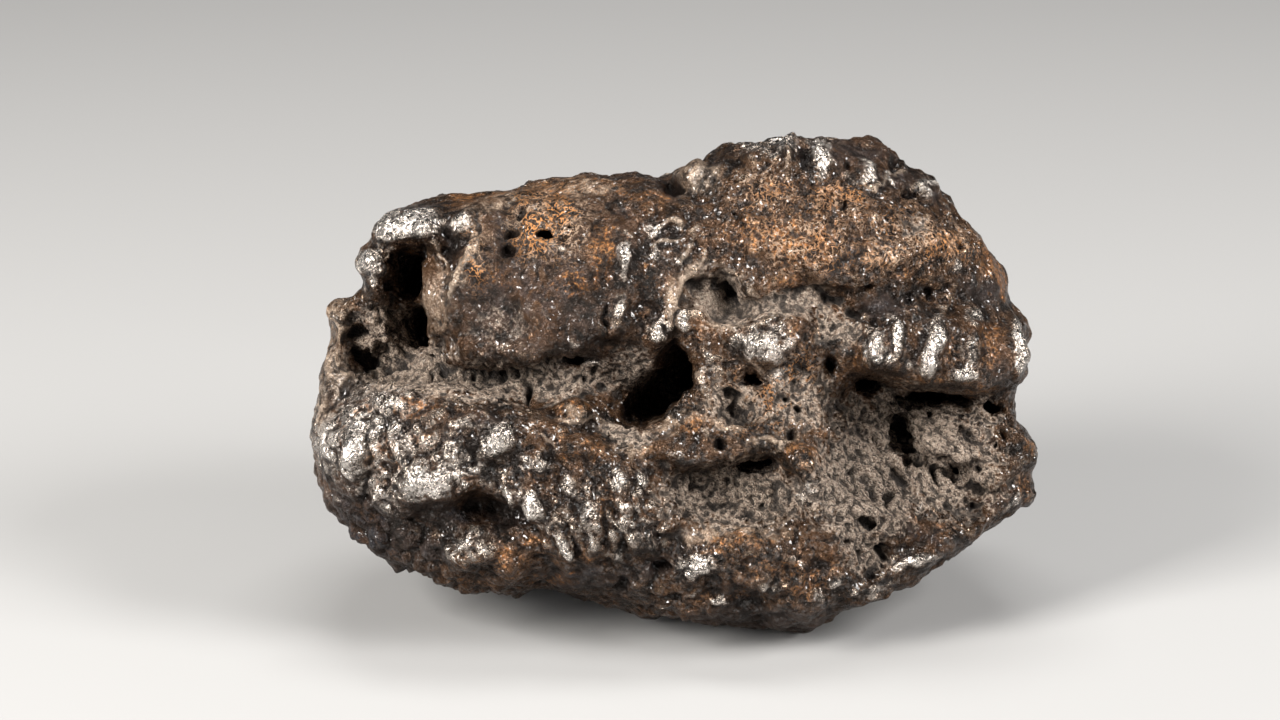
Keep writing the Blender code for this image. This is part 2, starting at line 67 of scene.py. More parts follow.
# Ovals on the face: across, up, half width, half height, turn in degrees, strength.
# Orange rust.
RUST = [
    (12, 20, 6, 3, 0, 1.0), (18, 19, 5, 4, 0, 0.9), (22, 25, 3.5, 2.5, 0, 0.9), (28, 17, 3.5, 1.7, 5, 1.0),
    (36, 19, 4.5, 2, 5, 1.0), (14, 26, 4, 2, 0, 0.7), (25, 21, 10, 6, -10, 0.5), (33, 15, 5, 1.2, 0, 0.7),
    (44, 16, 2, 6, 28, 1.0), (36.3, 11.2, 0.5, 0.5, 0, 1.0), (21.5, 13, 2, 1, 0, 0.8),
    (15, 13.5, 2.5, 1.5, 20, 0.8), (-9, 18, 2.6, 4, 0, 1.0), (-12, 13.5, 3.5, 2, 0, 0.9),
    (-3, 14, 2, 3, 0, 0.7), (-2, 9.5, 3, 2, 0, 0.6), (-18.5, 7.5, 1, 2, 0, 0.8), (-16.5, 21, 2, 1.5, 0, 0.8),
    (-20, 26.5, 20, 1.5, 4, 0.7), (-5, 26, 7, 2, -10, 0.7), (-13, -3.3, 2.8, 1.3, 0, 1.0),
    (-12, -8.3, 3.4, 1.5, -8, 1.0), (-3.5, -8.3, 2, 0.9, 0, 0.8), (3, -4.8, 2.8, 1.6, 0, 0.9),
    (3, 7, 1.5, 2, 0, 0.7), (17, -9.5, 2.5, 2.1, 0, 1.0), (20.5, -6.5, 1.8, 0.8, -5, 1.0),
    (17, 7, 3, 1.5, -20, 0.6), (24.5, 4, 1.5, 2, 0, 0.7), (36.8, 4, 1.2, 3, -15, 0.8),
    (42.5, 5, 2, 4, 0, 0.8),
    (42.5, -0.5, 3, 0.8, 0, 1.0), (34, 0.4, 5, 0.6, -5, 0.8), (40.5, -9, 2.2, 1.3, -35, 0.9),
    (47.6, -12.5, 1.6, 1, 0, 0.8), (48.4, -14.5, 1, 2.5, 0, 1.0), (48.8, -8, 0.9, 2, 0, 0.9),
    (31.5, -17.5, 2.5, 0.9, -15, 0.9), (37, -18.8, 3, 0.8, 0, 0.8), (9, -20.6, 5.5, 1.8, 0, 1.0),
    (6, -22.3, 3.5, 1, 0, 0.8), (12, -24, 5, 1.6, 0, 0.8), (17.5, -26, 4, 3.2, 0, 0.9),
    (4, -28.5, 2.5, 1, 0, 0.8),
    (9, -28, 3, 1, 0, 0.7), (22, -23, 2, 3, 0, 0.6), (-22, -23.5, 3.5, 2.5, 0, 0.8),
    (-17, -26.5, 4, 1, 5, 1.0),
    (-28, -26, 4, 1.2, -10, 0.7), (-38.5, -9.5, 2, 3.8, -10, 1.0), (-34, -3.3, 4, 1.4, -5, 1.0),
    (-33, -7, 3, 1, 0, 0.8), (-41, -2.5, 2.5, 1.5, 0, 0.8), (-44.1, -7, 0.6, 4.5, 10, 0.9),
    (-27, -11.8, 1.8, 1, 0, 0.8), (-27.5, -8, 2, 1, 0, 0.7), (-17, -12, 2.5, 0.9, 5, 0.8),
    (-48.5, -3, 0.8, 3, 10, 0.8), (-9, -14.5, 1.4, 2.4, 20, 0.9), (-12, -23, 2.6, 1.6, 0, 0.8),
    (-36, 17.5, 1.4, 1, 0, 0.6), (-32, 17.5, 1, 2, 20, 0.7), (-24, 14, 2.5, 2.5, 0, 0.6),
    (-18.5, -21, 2, 1.2, 0, 0.8),
]
# Matte dust in the porous hollows.
DUST = [
    (-22, 1, 15, 3, 0, 1.0), (-38, 5, 5.5, 6, 0, 0.9), (-32, 2.5, 4.5, 2.6, 0, 1.0),
    (8, -14.8, 9.5, 4.2, 0, 1.0),
    (34, -9, 12, 7.5, -25, 1.0), (26, -13, 8, 8, -30, 0.95), (25, -21.5, 5, 3, -35, 0.8),
    (6, 11.8, 5, 3.8, -35, 0.9), (14.5, 10.4, 6, 1.7, 5, 1.0), (22, 8, 3, 3, 0, 0.7),
    (8, -2.5, 4, 3.5, 0, 0.8),
    (17, -2, 5, 4, 0, 0.7), (-6, -6.6, 4, 1.3, -10, 0.9), (-22, 8.5, 7, 3.5, 5, 0.35),
    (-5, 2, 3.5, 3, 0, 0.8),
    (43, -3.5, 3, 3, 0, 0.7), (-45.5, 3, 1.6, 3, 0, 0.5), (33, 21.5, 2.6, 2.2, 0, 0.5),
]
# Bare, bright metal.
SHINE = [
    (-41, -7, 8, 9, 0, 0.8), (-31, -11, 8, 5, 0, 0.6), (-36.2, 21.6, 5.4, 2.2, 5, 1.0),
    (-28.1, 21.5, 1.8, 1.3, 0, 0.9), (-41, 16.6, 1.9, 1.9, 0, 1.0),
    (-46.2, -7, 1.7, 4, 8, 1.0), (-42.3, -10, 1.9, 4.6, -4, 1.0), (-44.8, -2.4, 1, 2.2, -25, 0.9),
    (-38.2, -2.5, 1.4, 0.9, 0, 0.9), (-32.6, -13, 3.8, 2.4, 0, 1.0), (-29.3, -10.8, 1.2, 1, 0, 0.9),
    (-36, -6.3, 1.8, 1.4, 0, 0.7), (-38, -16, 3, 1.2, 0, 0.7), (-23.3, -7.2, 2, 2.8, -20, 0.95),
    (-26.5, -4.6, 2.4, 0.8, 0, 0.6), (-21.6, -14.6, 1.3, 1.1, -20, 0.9), (-18.3, -16, 1.3, 3.2, 26, 1.0),
    (-18, -10, 2.4, 0.9, -10, 0.8), (-13.6, -13, 1, 1.6, 15, 0.7), (-7.3, -12.8, 0.9, 1.5, 20, 0.9),
    (-4.4, -12.8, 0.9, 1.3, -10, 0.9), (-11, -17, 0.8, 1.4, 10, 0.8), (-14, -21.4, 0.6, 2.4, 24, 1.0),
    (-10.6, -20.5, 0.8, 1, 10, 0.9), (-6, -17.6, 1, 0.7, 0, 0.8), (-7.4, -22.6, 0.8, 1.5, 20, 0.8),
    (-2.6, -20.5, 0.9, 0.8, 0, 0.7), (-2.6, -14.3, 1.2, 0.7, 0, 0.6), (-8, -18, 8, 5, 0, 0.42),
    (3.2, -24.4, 2.4, 1.7, 10, 1.0), (12.6, -26.6, 1, 1.6, 20, 0.8), (6.6, -29, 0.9, 1, -20, 0.8),
    (2.5, -28.8, 0.7, 0.9, -20, 0.8), (-0.7, -30.5, 1.2, 0.7, 0, 0.8), (-27, -21, 3, 1.8, 0, 0.6),
    (22.4, -14.8, 2.3, 1.1, -28, 0.9), (25.6, -15.8, 0.9, 0.9, 0, 0.8), (17.8, -13.8, 1.2, 1.6, 0, 0.9),
    (33, -23.5, 3.2, 0.9, 8, 0.9), (36.8, -23.1, 1, 0.8, 20, 0.8), (21.6, -26, 1.1, 1, -20, 0.8),
    (19.2, -27.8, 0.9, 1, 0, 0.8), (17, -23.5, 1.2, 0.8, 0, 0.7), (30, -26.5, 3, 1.2, 25, 0.5),
    (26, -28, 3, 1.2, 15, 0.5), (34.4, -16.4, 0.8, 0.6, -20, 0.8), (41.5, -12.5, 1.5, 2, 30, 0.5),
    (47.3, -16.6, 1.6, 0.8, 35, 0.8), (12.5, 5, 3.6, 2.4, 0, 0.95), (14, 1.5, 2.4, 2.4, 0, 0.75),
    (9, 5.5, 1.6, 1.4, 0, 0.8), (5, 1, 1.2, 4, 0, 0.5), (26.5, 5.6, 1.1, 1.9, -5, 1.0),
    (27.4, 3, 1.9, 0.9, 30, 0.9), (29.4, 7, 0.6, 2.6, 5, 1.0), (34.3, 5, 1.1, 4, -15, 1.0),
    (33.4, 2, 0.9, 1.4, -15, 0.9), (31.4, 3.2, 1, 0.9, 0, 0.7), (38.6, 1.2, 1.6, 0.9, 0, 0.9),
    (40.6, 9.4, 1.4, 1.2, -20, 0.9), (39.6, 4.5, 1.4, 2, 0, 0.5), (46.2, 6.5, 0.8, 2.4, 0, 1.0),
    (46.5, 2.9, 0.7, 1.5, -10, 0.9), (38.6, 16.2, 1.2, 0.5, 0, 0.8), (14, 32, 2.5, 1.3, 0, 0.8),
    (20, 31.5, 2, 1.5, 0, 0.9), (20.3, 29.6, 0.9, 1.3, 0, 0.9), (26, 28.8, 1.2, 2.2, 15, 0.8),
    (28.6, 27.6, 1.2, 0.8, 30, 0.8), (34.6, 26.6, 1.7, 1.5, 0, 0.8), (37.5, 24.8, 0.7, 1.8, 45, 0.7),
    (11, 31.5, 2, 1.4, 0, 0.6), (23.5, 28.4, 1, 1.2, 0, 0.6), (4, 27.4, 0.9, 1.4, -20, 0.6),
    (-6.4, 17, 0.9, 2.4, 0, 0.9), (-7, 9.8, 0.9, 1.5, -20, 0.8), (-2.4, 20.2, 1, 0.8, 0, 0.9),
    (-2.5, 17.6, 0.9, 0.8, 0, 0.8), (1.2, 16.8, 0.8, 0.8, 0, 0.9), (1.6, 8.2, 0.8, 1.2, 0, 0.9),
    (-1.8, 8, 1.2, 1.5, -20, 0.8), (-12.6, 6.3, 1.4, 0.6, 0, 0.7), (-10.6, 3, 0.8, 1.4, 40, 0.8),
    (-14, 17.5, 1.2, 1, 0, 0.6), (-29, 6, 0.6, 1.6, 20, 0.7), (-22, 7, 2, 1.4, 0, 0.5),
]
# Near-black crust, and painted shade: near-black colour also put under the left lobe, along its underside and
# in a few grooves where shade falls.
DARK_CRUST_AND_SHADE = [
    (25, 31.2, 4.5, 1.8, 0, 0.8), (30.5, 28.2, 3, 0.9, 0, 0.8), (36, 25, 2.5, 1, -40, 0.8),
    (-22, 19.7, 2, 4.6, 10, 1.0), (0.2, 26.6, 1.6, 1.2, -20, 0.8), (-29.2, 19, 1, 3, 15, 0.9),
    (-41, -20, 8, 4.6, -38, 1.0), (-32, -22, 2.4, 2, -20, 0.9), (-26.5, -16.7, 7, 2, 0, 1.0),
    (42, 13, 3, 1.4, -15, 0.8), (28, 10.5, 3, 1.2, 0, 0.9), (22.5, 16.5, 3, 0.7, 25, 0.8),
    (36.2, 4.9, 0.6, 1.2, -15, 0.9), (43.6, 3, 1.6, 2.4, 0, 0.5), (-46.7, -3, 0.8, 3, -20, 0.6),
    (43, -15, 3, 1.6, 10, 0.7), (33, -19.6, 4, 1, -10, 0.9), (-13, -26, 4, 1.3, 0, 1.0),
    (-6.8, -27, 1.2, 1.5, 0, 0.9), (-2, -24, 2, 1.1, 0, 0.8), (10, -32, 12, 1.6, 0, 0.7),
    (7.5, -26.8, 2, 0.7, 0, 0.7), (-18, 13, 11, 7, 0, 0.7), (-12, 16, 9, 9, 0, 0.4),
    (-6.5, 22.5, 2, 1.2, 0, 0.7),
    (-24.5, -3.8, 2, 1, 0, 0.5), (3.8, -2.2, 0.9, 1, 0, 0.6), (-22.5, 5.5, 4, 1.6, 10, 0.3),
]
# Pale tan ground.
PALE = [
    (-45.3, 9.3, 1.7, 2.6, 0, 0.9), (-45.5, 3.2, 1.7, 3.2, 10, 0.8), (-47.6, -3, 1.2, 4, 12, 0.7),
    (-32, 11, 1.4, 4, 8, 0.6), (-31.6, 16.5, 1, 2.6, 18, 0.5), (-24, 24.6, 3.4, 1, 12, 0.9),
    (-26.2, 19.5, 1, 3, 8, 0.8), (-28.6, 14.2, 1, 1.4, 0, 0.9), (3.4, 27.8, 2, 1.8, 0, 0.7),
    (0.3, 11, 0.8, 2.8, 0, 1.0), (-16.5, 22, 4.4, 3.6, 0, 0.3), (-11.5, 26.6, 3, 0.9, 5, 0.8),
    (0, -4.9, 5, 0.8, 30, 0.8), (-5.5, -8.3, 2.4, 0.6, -5, 0.7), (6, -19.6, 9, 0.8, 3, 0.7),
    (28, 17.2, 2.6, 1.4, 5, 0.4), (36.2, 19.4, 2.6, 1.3, 0, 0.35), (19, 12.4, 2, 0.8, 15, 0.6),
    (-14, -4.3, 3, 0.6, 0, 0.6), (-37, 0.8, 3, 0.6, 0, 0.6), (16, -3, 2, 3, 30, 0.5),
    (13, -7.3, 3, 0.8, 10, 0.6),
]
# Lacework of thin orange and cream strands over dark gaps.
LACE = [
    (28, 17.2, 3.2, 1.8, 5, 1.0), (36, 19.2, 4.6, 2.2, 5, 1.0), (-16.5, 21.8, 4.8, 4.6, 0, 1.0),
    (22, 25, 3.4, 2.6, 0, 0.8), (17, 19, 6, 4, 0, 0.7), (12, 26, 4, 3, 0, 0.6), (40.5, -9, 3, 2, -35, 0.7),
    (-26, 17, 1.6, 4, 5, 0.8), (8, -2, 4, 4, 0, 0.6), (15, 0, 4, 5, 0, 0.7), (30, 21, 5, 3, 0, 0.5),
]

# Ridges, and grooves where the rise is negative: line, half width, rise. The wide ones have no pale rim.
WIDEST_RIM = 0.6
RIDGES = [
    (((14, 14.6), (20, 15.8), (26, 18.4), (33, 19), (40, 18.6)), 1.4, 0.55),
    (((6, 19.6), (11, 18.2), (16, 17.6), (22, 19.6), (28, 22.4)), 1.0, 0.45),
    (((9, 24.4), (15, 22.8), (20, 22.6), (25, 24.4), (31, 25)), 1.1, -0.6),
    (((-20, 24), (-16, 17), (-13.6, 12), (-13, 8)), 1.2, 0.4), (((-24, 18), (-21, 13), (-20, 8)), 1.1, -0.5),
    (((-9.4, 22), (-9, 17), (-9.6, 12)), 0.9, -0.6),
    (((-0.3, 8), (0.2, 11), (0.9, 13.6), (2.6, 15.6), (4.3, 17.3)), 0.36, 0.7),
    (((4.2, 17), (6, 16.2), (8.5, 14.8), (10.4, 13), (11.4, 11.8)), 0.28, 0.45),
    (((1.3, 9.6), (4, 8.3), (7, 7.5), (10, 7.6), (13, 8.8), (17, 9.2)), 0.3, 0.5),
    (((-31.9, 19.2), (-30.7, 17), (-29.3, 14.6)), 0.22, 0.55),
    (((-25.8, 19), (-27, 16.8), (-28.4, 14.8), (-29, 12), (-30.6, 7.6)), 0.24, 0.65),
    (((-38, -0.2), (-35, -0.5), (-30.4, -0.8), (-28.2, 0), (-26, 1), (-24.9, 0.8)), 0.2, 0.4),
    (((3.2, 20.8), (2.2, 18.6), (1.2, 16.2)), 0.3, 0.5),
    (((-2.8, 19.6), (-1.8, 21.2), (0.2, 22), (1.2, 21)), 0.3, 0.5),
    (((-2.5, 18.5), (-0.5, 19.4), (1.4, 19.6)), 0.26, 0.4),
    (((-2.4, 6.4), (-2.2, 8), (-1.4, 8.8), (-0.6, 8)), 0.28, 0.5),
    (((-1, -9.3), (2.6, -9.1), (4.2, -8), (4.4, -5.8)), 0.32, 0.5),
    (((5.4, -4.8), (7.5, -5.9), (9.4, -5.9), (11.2, -4.9), (13.4, -3.5), (16.5, -2.4)), 0.34, 0.6),
    (((9.6, -7.6), (12.6, -6.8), (14.8, -7.7), (16.8, -6.2)), 0.3, 0.5),
    (((7.5, -9.6), (11, -9.4), (13.8, -8.7), (14.6, -8)), 0.32, 0.6),
    (((4.2, 2.4), (4.4, -0.5), (5.2, -3)), 0.32, 0.5),
    (((6.6, 3.4), (8.6, 3.4), (11, 3.2), (13, 1)), 0.3, 0.4),
    (((-16.5, -4.8), (-13.5, -5), (-10.4, -4.4), (-8.4, -5.4)), 0.3, 0.45),
    (((-17.4, -6.4), (-15.4, -8.6)), 0.26, 0.5), (((-45, 1.6), (-42, 0.9), (-39.4, 0)), 0.3, 0.6),
    (((-29.6, -0.9), (-28.4, -2.4), (-26.6, -3)), 0.3, 0.6),
    (
        ((35.2, 11.4), (35.6, 12.2), (36.6, 12.4), (37.4, 11.6), (37.2, 10.5), (36.2, 10.1), (35.4, 10.6)),
        0.26, 0.5,
    ),
    (((25.6, 26.6), (27, 26.2), (28, 27.2), (29.4, 28.6), (31.6, 28.8)), 0.28, 0.4),
    (((15.4, 31.2), (15.8, 29.6), (14.8, 28.6)), 0.28, 0.5),
    (((-43.8, 0.3), (-45.4, -1.8), (-46.8, -4), (-47.5, -7)), 0.45, -1.1),
    (((20.3, 15.7), (22.4, 16.4), (24.8, 17.3)), 0.4, -0.7),
    (((20.4, 11.6), (24, 10.4), (27, 10.2)), 0.5, -0.9),
    (((-44, -2.5), (-44.6, -6), (-45, -10)), 0.5, -0.5), (((-40.4, -6), (-40.2, -10), (-41, -14)), 0.5, -0.5),
    (((15, 12.2), (18.5, 13), (20.4, 11.8)), 0.4, -0.5), (((24.8, -11), (24.9, -13.6)), 0.4, -0.9),
]

# Pits: across, up, half width, half height, turn in degrees, depth.
PITS = [
    (-17.1, 19.8, 1.1, 0.9, -15, 1.6), (-13.4, 21.4, 0.6, 0.6, 0, 1.3), (-21.3, 20.4, 0.9, 0.7, 20, 1.2),
    (-21.8, 18.2, 0.9, 0.8, 0, 1.3), (-20, 23.1, 0.9, 0.9, 0, 1.1), (-18.3, 23.7, 0.4, 0.4, 0, 0.8),
    (-17.6, 22.4, 0.4, 0.4, 0, 0.8), (-14.6, 19.6, 0.4, 0.4, 0, 0.8), (-15.5, 24, 0.4, 0.4, 0, 0.7),
    (-23.3, 3.2, 0.5, 0.7, 0, 1.4), (-23, 1.4, 0.6, 0.8, 0, 1.5), (-20.9, 1.5, 0.4, 0.9, 0, 1.2),
    (-19.2, -0.9, 0.5, 1.5, 0, 1.5), (-13.2, 3.8, 1.7, 1.0, 20, 2.4), (-16.7, 3, 1.2, 0.7, 0, 1.0),
    (-8.6, 7.9, 0.7, 1.3, 0, 1.3), (-8.8, 9.8, 0.5, 1.5, -25, 1.0), (-11.4, -1, 1.6, 0.5, 0, 0.8),
    (23, 24.2, 0.5, 0.8, -35, 1.3), (38.6, 18.7, 0.6, 0.5, -30, 1.5), (41, 19.3, 0.9, 0.35, -10, 1.0),
    (36, 16.9, 0.8, 0.4, -10, 0.9), (32.3, 26, 1.3, 0.6, 0, 1.6), (34.4, 12.2, 0.6, 0.9, 0, 1.6),
    (31.6, 11.4, 0.7, 0.8, 0, 1.0), (26.2, 13, 0.7, 0.5, 20, 1.3), (22.2, 11.3, 1.4, 0.5, 0, 1.1),
    (24, 9.7, 1.0, 0.9, 0, 1.6), (26.6, 8.6, 0.6, 0.9, 0, 1.2), (35.2, 2, 0.4, 0.4, 0, 0.9),
    (14.7, 30.3, 0.6, 0.8, 0, 1.2), (10.9, 27, 0.7, 0.6, 0, 1.1), (23.5, 29.8, 0.8, 0.9, 0, 1.1),
    (17.6, 29.6, 0.6, 0.9, 0, 0.9), (30.2, 29.8, 0.8, 0.6, 0, 1.0), (8.3, 22.9, 0.6, 0.5, 0, 0.8),
    (7.5, 13, 0.6, 2.2, 42, 1.3), (45.4, -6.9, 0.6, 1.2, 30, 1.6), (39.2, -5.8, 0.5, 0.8, 0, 1.3),
    (43.4, -3.2, 1.2, 0.8, -30, 1.2), (44, -8.3, 0.35, 0.6, 0, 0.9), (36.1, -12.8, 0.5, 0.9, 20, 1.3),
    (41.9, -11.7, 0.35, 0.6, 20, 1.0), (28.2, -7.8, 0.5, 1.6, 30, 1.2), (33.4, -10.6, 2, 0.5, -20, 1.2),
    (29.3, -15, 0.7, 1.0, 20, 1.8), (28, -22.3, 0.9, 0.9, 0, 1.8), (23.3, -21, 0.4, 0.4, 0, 1.0),
    (33.7, -17.6, 0.9, 0.6, -20, 1.3), (25.3, -22.4, 0.5, 0.3, 0, 0.8), (32, -13, 0.4, 0.25, 0, 0.8),
    (16, -6.1, 0.8, 0.8, 30, 1.5), (6.4, -7.7, 0.9, 0.8, 0, 1.4), (8, -1.4, 1.2, 0.9, 0, 1.0),
    (2.6, -13.2, 0.4, 1.1, 0, 1.3), (2.2, -17, 0.6, 0.8, 10, 1.1), (6.6, -16, 0.4, 0.3, 0, 0.9),
    (12, -16, 0.35, 0.4, 0, 0.9), (7.4, -13, 0.5, 0.8, 0, 0.9), (4.2, -11.9, 0.6, 0.4, 0, 1.0),
    (15.3, -15.2, 0.5, 0.7, 0, 1.0), (1.4, -22.8, 0.4, 0.4, 0, 0.9), (6.4, -23.2, 0.5, 0.4, 0, 0.8),
    (-1.4, -24.2, 1.1, 0.9, 0, 1.4), (-6.8, -27, 0.8, 1.3, 0, 1.3), (-38, -13.4, 0.6, 0.8, 20, 1.4),
    (-38, -11, 0.8, 1.2, 0, 0.8), (-42.9, -10.8, 0.35, 0.35, 0, 0.8), (-37.8, 13, 1.0, 1.6, 20, 1.3),
    (-33.7, 17.6, 0.8, 1.2, -25, 1.2), (-36.6, 11.4, 1.3, 0.9, 10, 1.6), (-33.6, 6, 0.9, 1.1, 0, 1.2),
    (-38, 7.5, 0.8, 1.3, 15, 1.2), (-37.6, 16.9, 0.8, 0.9, 0, 1.0), (-42.4, 7, 1.0, 1.1, 0, 1.5),
    (-42.6, 4, 0.7, 0.9, 0, 1.3), (-40.3, 5.2, 0.6, 0.8, 0, 1.1), (-39.6, 9.8, 0.7, 0.6, 0, 1.0),
    (-36.6, 2.4, 1.3, 0.5, 10, 1.1), (0.2, 26.6, 1.4, 0.8, -25, 1.4), (-32.4, 1.2, 0.35, 0.8, 0, 0.8),
]

# Low swellings: across, up, half width, half height, turn in degrees, rise.
KNOBS = [
    (-41, 17, 2.2, 2.2, 0, 1.1), (-45.5, 10, 1.7, 1.8, 0, 0.9), (-37.5, 21.6, 3.2, 2.2, 10, 0.7),
    (-33.2, 22.2, 2.4, 2, 0, 0.6), (-28.2, 21.6, 1.8, 1.4, 0, 0.7), (-46.2, -7.2, 1.9, 4.2, 8, 1.0),
    (-42.2, -10, 2, 4.8, -4, 1.0), (-38, -2.6, 2.6, 1.5, -8, 0.7), (-36.4, -7, 2.2, 2, 0, 0.8),
    (-32.6, -12.8, 4.2, 2.8, 0, 1.4), (-28.6, -9, 1.8, 2.2, 20, 0.7), (-23.3, -7.4, 2.4, 3.2, -20, 1.2),
    (-30.5, -4.6, 2.2, 1.3, 0, 0.7), (-21.6, -14, 1.8, 1.8, -20, 0.9), (-18.3, -16, 1.6, 3.6, 26, 1.2),
    (-18, -10.2, 2.8, 1.2, -10, 0.7), (-13.4, -13.4, 1.2, 2.2, 18, 0.8), (-7.2, -13, 1.1, 2, 20, 0.9),
    (-4.2, -12.6, 1, 1.6, -10, 0.8), (-11, -17.4, 1.1, 2, 15, 0.9), (-14, -21.6, 0.9, 2.8, 24, 1.1),
    (-10.4, -21, 1, 1.6, 12, 0.9), (-6.4, -18.4, 1.1, 1.4, 20, 0.8), (-7.2, -22.8, 1, 1.9, 20, 0.9),
    (-2.8, -20.6, 1.2, 1.3, 0, 0.8), (-2.6, -16, 1.1, 1.6, 20, 0.7), (3.2, -24.4, 2.4, 1.9, 10, 0.9),
    (-26.8, -21.4, 3.6, 2.6, 0, 0.8), (-20.8, -24, 2.6, 2, 0, 0.7), (12.6, -26.4, 1.4, 2, 20, 0.9),
    (6.6, -29, 1.2, 1.4, -20, 0.8), (2.4, -28.6, 1.2, 1.2, -20, 0.8), (-13, -3.3, 3, 1.3, 0, 0.9),
    (-12, -8.2, 3.4, 1.3, -8, 0.8), (17, -9.5, 2.3, 2, 0, 1.0), (20.5, -6.5, 2.2, 0.9, -10, 0.8),
    (9, -20.8, 5, 1.8, 0, 0.7), (17.5, -25.6, 2.6, 2.4, 0, 0.8), (21.6, -25.8, 1.4, 1.4, 0, 0.8),
    (33, -23.6, 3.2, 1, 8, 0.7), (15.4, 31, 1.4, 2.4, 0, 1.0), (20.3, 31, 1.5, 2.2, 0, 1.1),
    (11.4, 30.6, 2, 1.6, 0, 0.9), (25.9, 28.6, 1.5, 2.6, 15, 1.0), (28.8, 31, 2, 1.6, -20, 0.8),
    (34.6, 26.6, 1.9, 1.7, 0, 1.0), (37.6, 24.6, 1.1, 2, 45, 0.8), (7, 28.6, 1.8, 1.6, 0, 0.8),
    (28, 17, 3, 1.5, 5, 0.6), (36.4, 19.6, 3, 1.6, 5, 0.6), (22.4, 20.4, 0.9, 2.6, 0, 0.4),
    (3.2, 28, 2.4, 1.9, 15, 1.4), (-2.4, 17.8, 1.1, 1.2, 0, 0.6), (-6.4, 17, 1, 2.6, 0, 0.8),
    (-7, 9.8, 1, 1.7, -20, 0.7), (47, -10.5, 1.5, 2.6, 0, 0.7), (40.5, -9.4, 2.4, 1.4, -30, 0.6),
    (26.5, 5.6, 1.1, 2.4, -5, 0.8), (29.6, 6.6, 0.8, 3.6, 4, 0.8), (34.4, 5, 1.2, 5, -15, 1.0),
    (38.6, 1.4, 1.8, 1.1, 0, 0.7), (40.4, 6, 1.1, 4.6, -8, 0.7), (46.3, 4.8, 0.9, 4.8, 0, 0.9),
    (3.8, 11, 3, 3, -30, 1.6), (5, 14, 2.8, 1.8, -25, 1.9), (-24, 4.4, 9, 1.8, 4, 1.5),
    (-12, 5.2, 4, 1.3, 0, 1.0), (9.8, 12.4, 1.2, 1.3, -30, 0.6),
    (12.6, 4.8, 3.2, 2.4, 0, 0.8), (14.6, 1.2, 2, 2, 0, 0.6), (1.5, 8.2, 0.9, 1.3, 0, 0.6),
]
# Taller knobs.
LUMPY = [
    (-36, -8, 14, 8, 0, 0.9), (-8, -18, 14, 8, 0, 0.7), (20, 30.5, 16, 3, 0, 0.8), (8, -27, 16, 6, 0, 0.8),
    (-24, -23, 9, 4, 0, 0.8), (44, -12, 5, 8, 0, 0.6), (36, 5, 11, 5, 0, 0.4), (9, 1, 8, 7, 0, 0.5),
]
# Coarse grains.
GRAINY = [
    (-36, -20, 13, 5, -30, 1.0), (-15, 15, 13, 10, 0, 0.6), (24, 20, 18, 8, -10, 0.7),
    (-40, 6, 5, 6, 0, 1.0), (12, 4, 8, 5, 0, 0.7), (8, -1, 7, 5, 0, 0.6),
]
# Smoother ground, with little fine relief.
CALM = [
    (-31.5, 13, 1.8, 6, 12, 0.8), (36, 5, 11, 5, 0, 0.5), (43, 14, 3, 7, 25, 0.6),
    (-23, 11, 6, 3, 5, 0.5), (-20, 26, 20, 1.6, 4, 0.8), (-44, -8, 4, 6, 0, 0.3),
    (-32.5, -13, 4, 2.4, 0, 0.25),
    (5, 11.5, 6, 4.2, -30, 1.0), (-33, 1.8, 4, 2.2, 0, 0.6), (15, 10.6, 6, 1.8, 0, 0.5),
    (-36.5, 21.5, 5, 2.2, 5, 0.3), (-28, 2, 4, 3, 0, 0.4), (46.5, 5, 2, 5, 0, 0.5), (3, 28, 2.4, 2, 0, 0.7),
]
# Deep shreds in the dust.
SHRED = [(34, -10, 13, 8, -25, 1.0), (26, -14, 8, 8, -30, 1.0), (16, -1, 5, 5, 0, 0.6)]
# Broken chunks.
RUBBLE = [
    (-40, 6.5, 4.5, 6, 0, 1.2), (-36.5, 3, 3.5, 2.4, 0, 0.9), (-39.5, 13, 2, 2.5, 0, 0.8),
    (-36.5, 11.5, 2.5, 7, 0, 0.7), (-38, -20, 9, 4.5, -35, 1.4), (-28, -25, 8, 3, -15, 0.8),
    (43, -15, 3, 2.4, 20, 0.7), (32, -18.5, 4, 1.4, -15, 0.7),
]
# Flutes that run down the foot.
FLUTES = [(-9, -17, 10, 8, 0, 1.0), (-20, -13, 4, 5, 0, 0.7), (4, -27, 12, 5, 0, 0.6)]

# Each field: its ovals on the face, then the width and strength of its patches elsewhere.
FIELDS = {
    "rust": (RUST, 10, 0.8), "dust": (DUST, 12, 0.7), "shine": (SHINE, 8, 0.6),
    "dark": (DARK_CRUST_AND_SHADE, 9, 0.8), "lumpy": (LUMPY, 14, 0.7), "grainy": (GRAINY, 9, 0.8),
    "calm": (CALM, 11, 0.6), "shred": (SHRED, 12, 0.6), "flutes": (FLUTES, 12, 0.4),
    "rubble": (RUBBLE, 10, 0.5), "pale": (PALE, 7, 0.25), "lace": (LACE, 9, 0.3),
}
MATERIAL_READS = (
    "rust", "dust", "shine", "dark", "pale", "lace", "calm", "under", "rim", "crest", "swell",
)


def smooth_step(low, high, value):
    """0 up to low and 1 from high on, with a soft slope between them."""
    share = np.clip((value - low) / (high - low), 0, 1)
    return share * share * (3 - 2 * share)


def scramble(x, y, z, seed):
    """A pseudo-random whole number for each lattice place."""
    h = (x * 73856093) ^ (y * 19349663) ^ (z * 83492791) ^ (seed * 2654435761)
    h = (h ^ (h >> 13)) * 1274126177
    return (h ^ (h >> 16)) & 0x3FFFFFFF


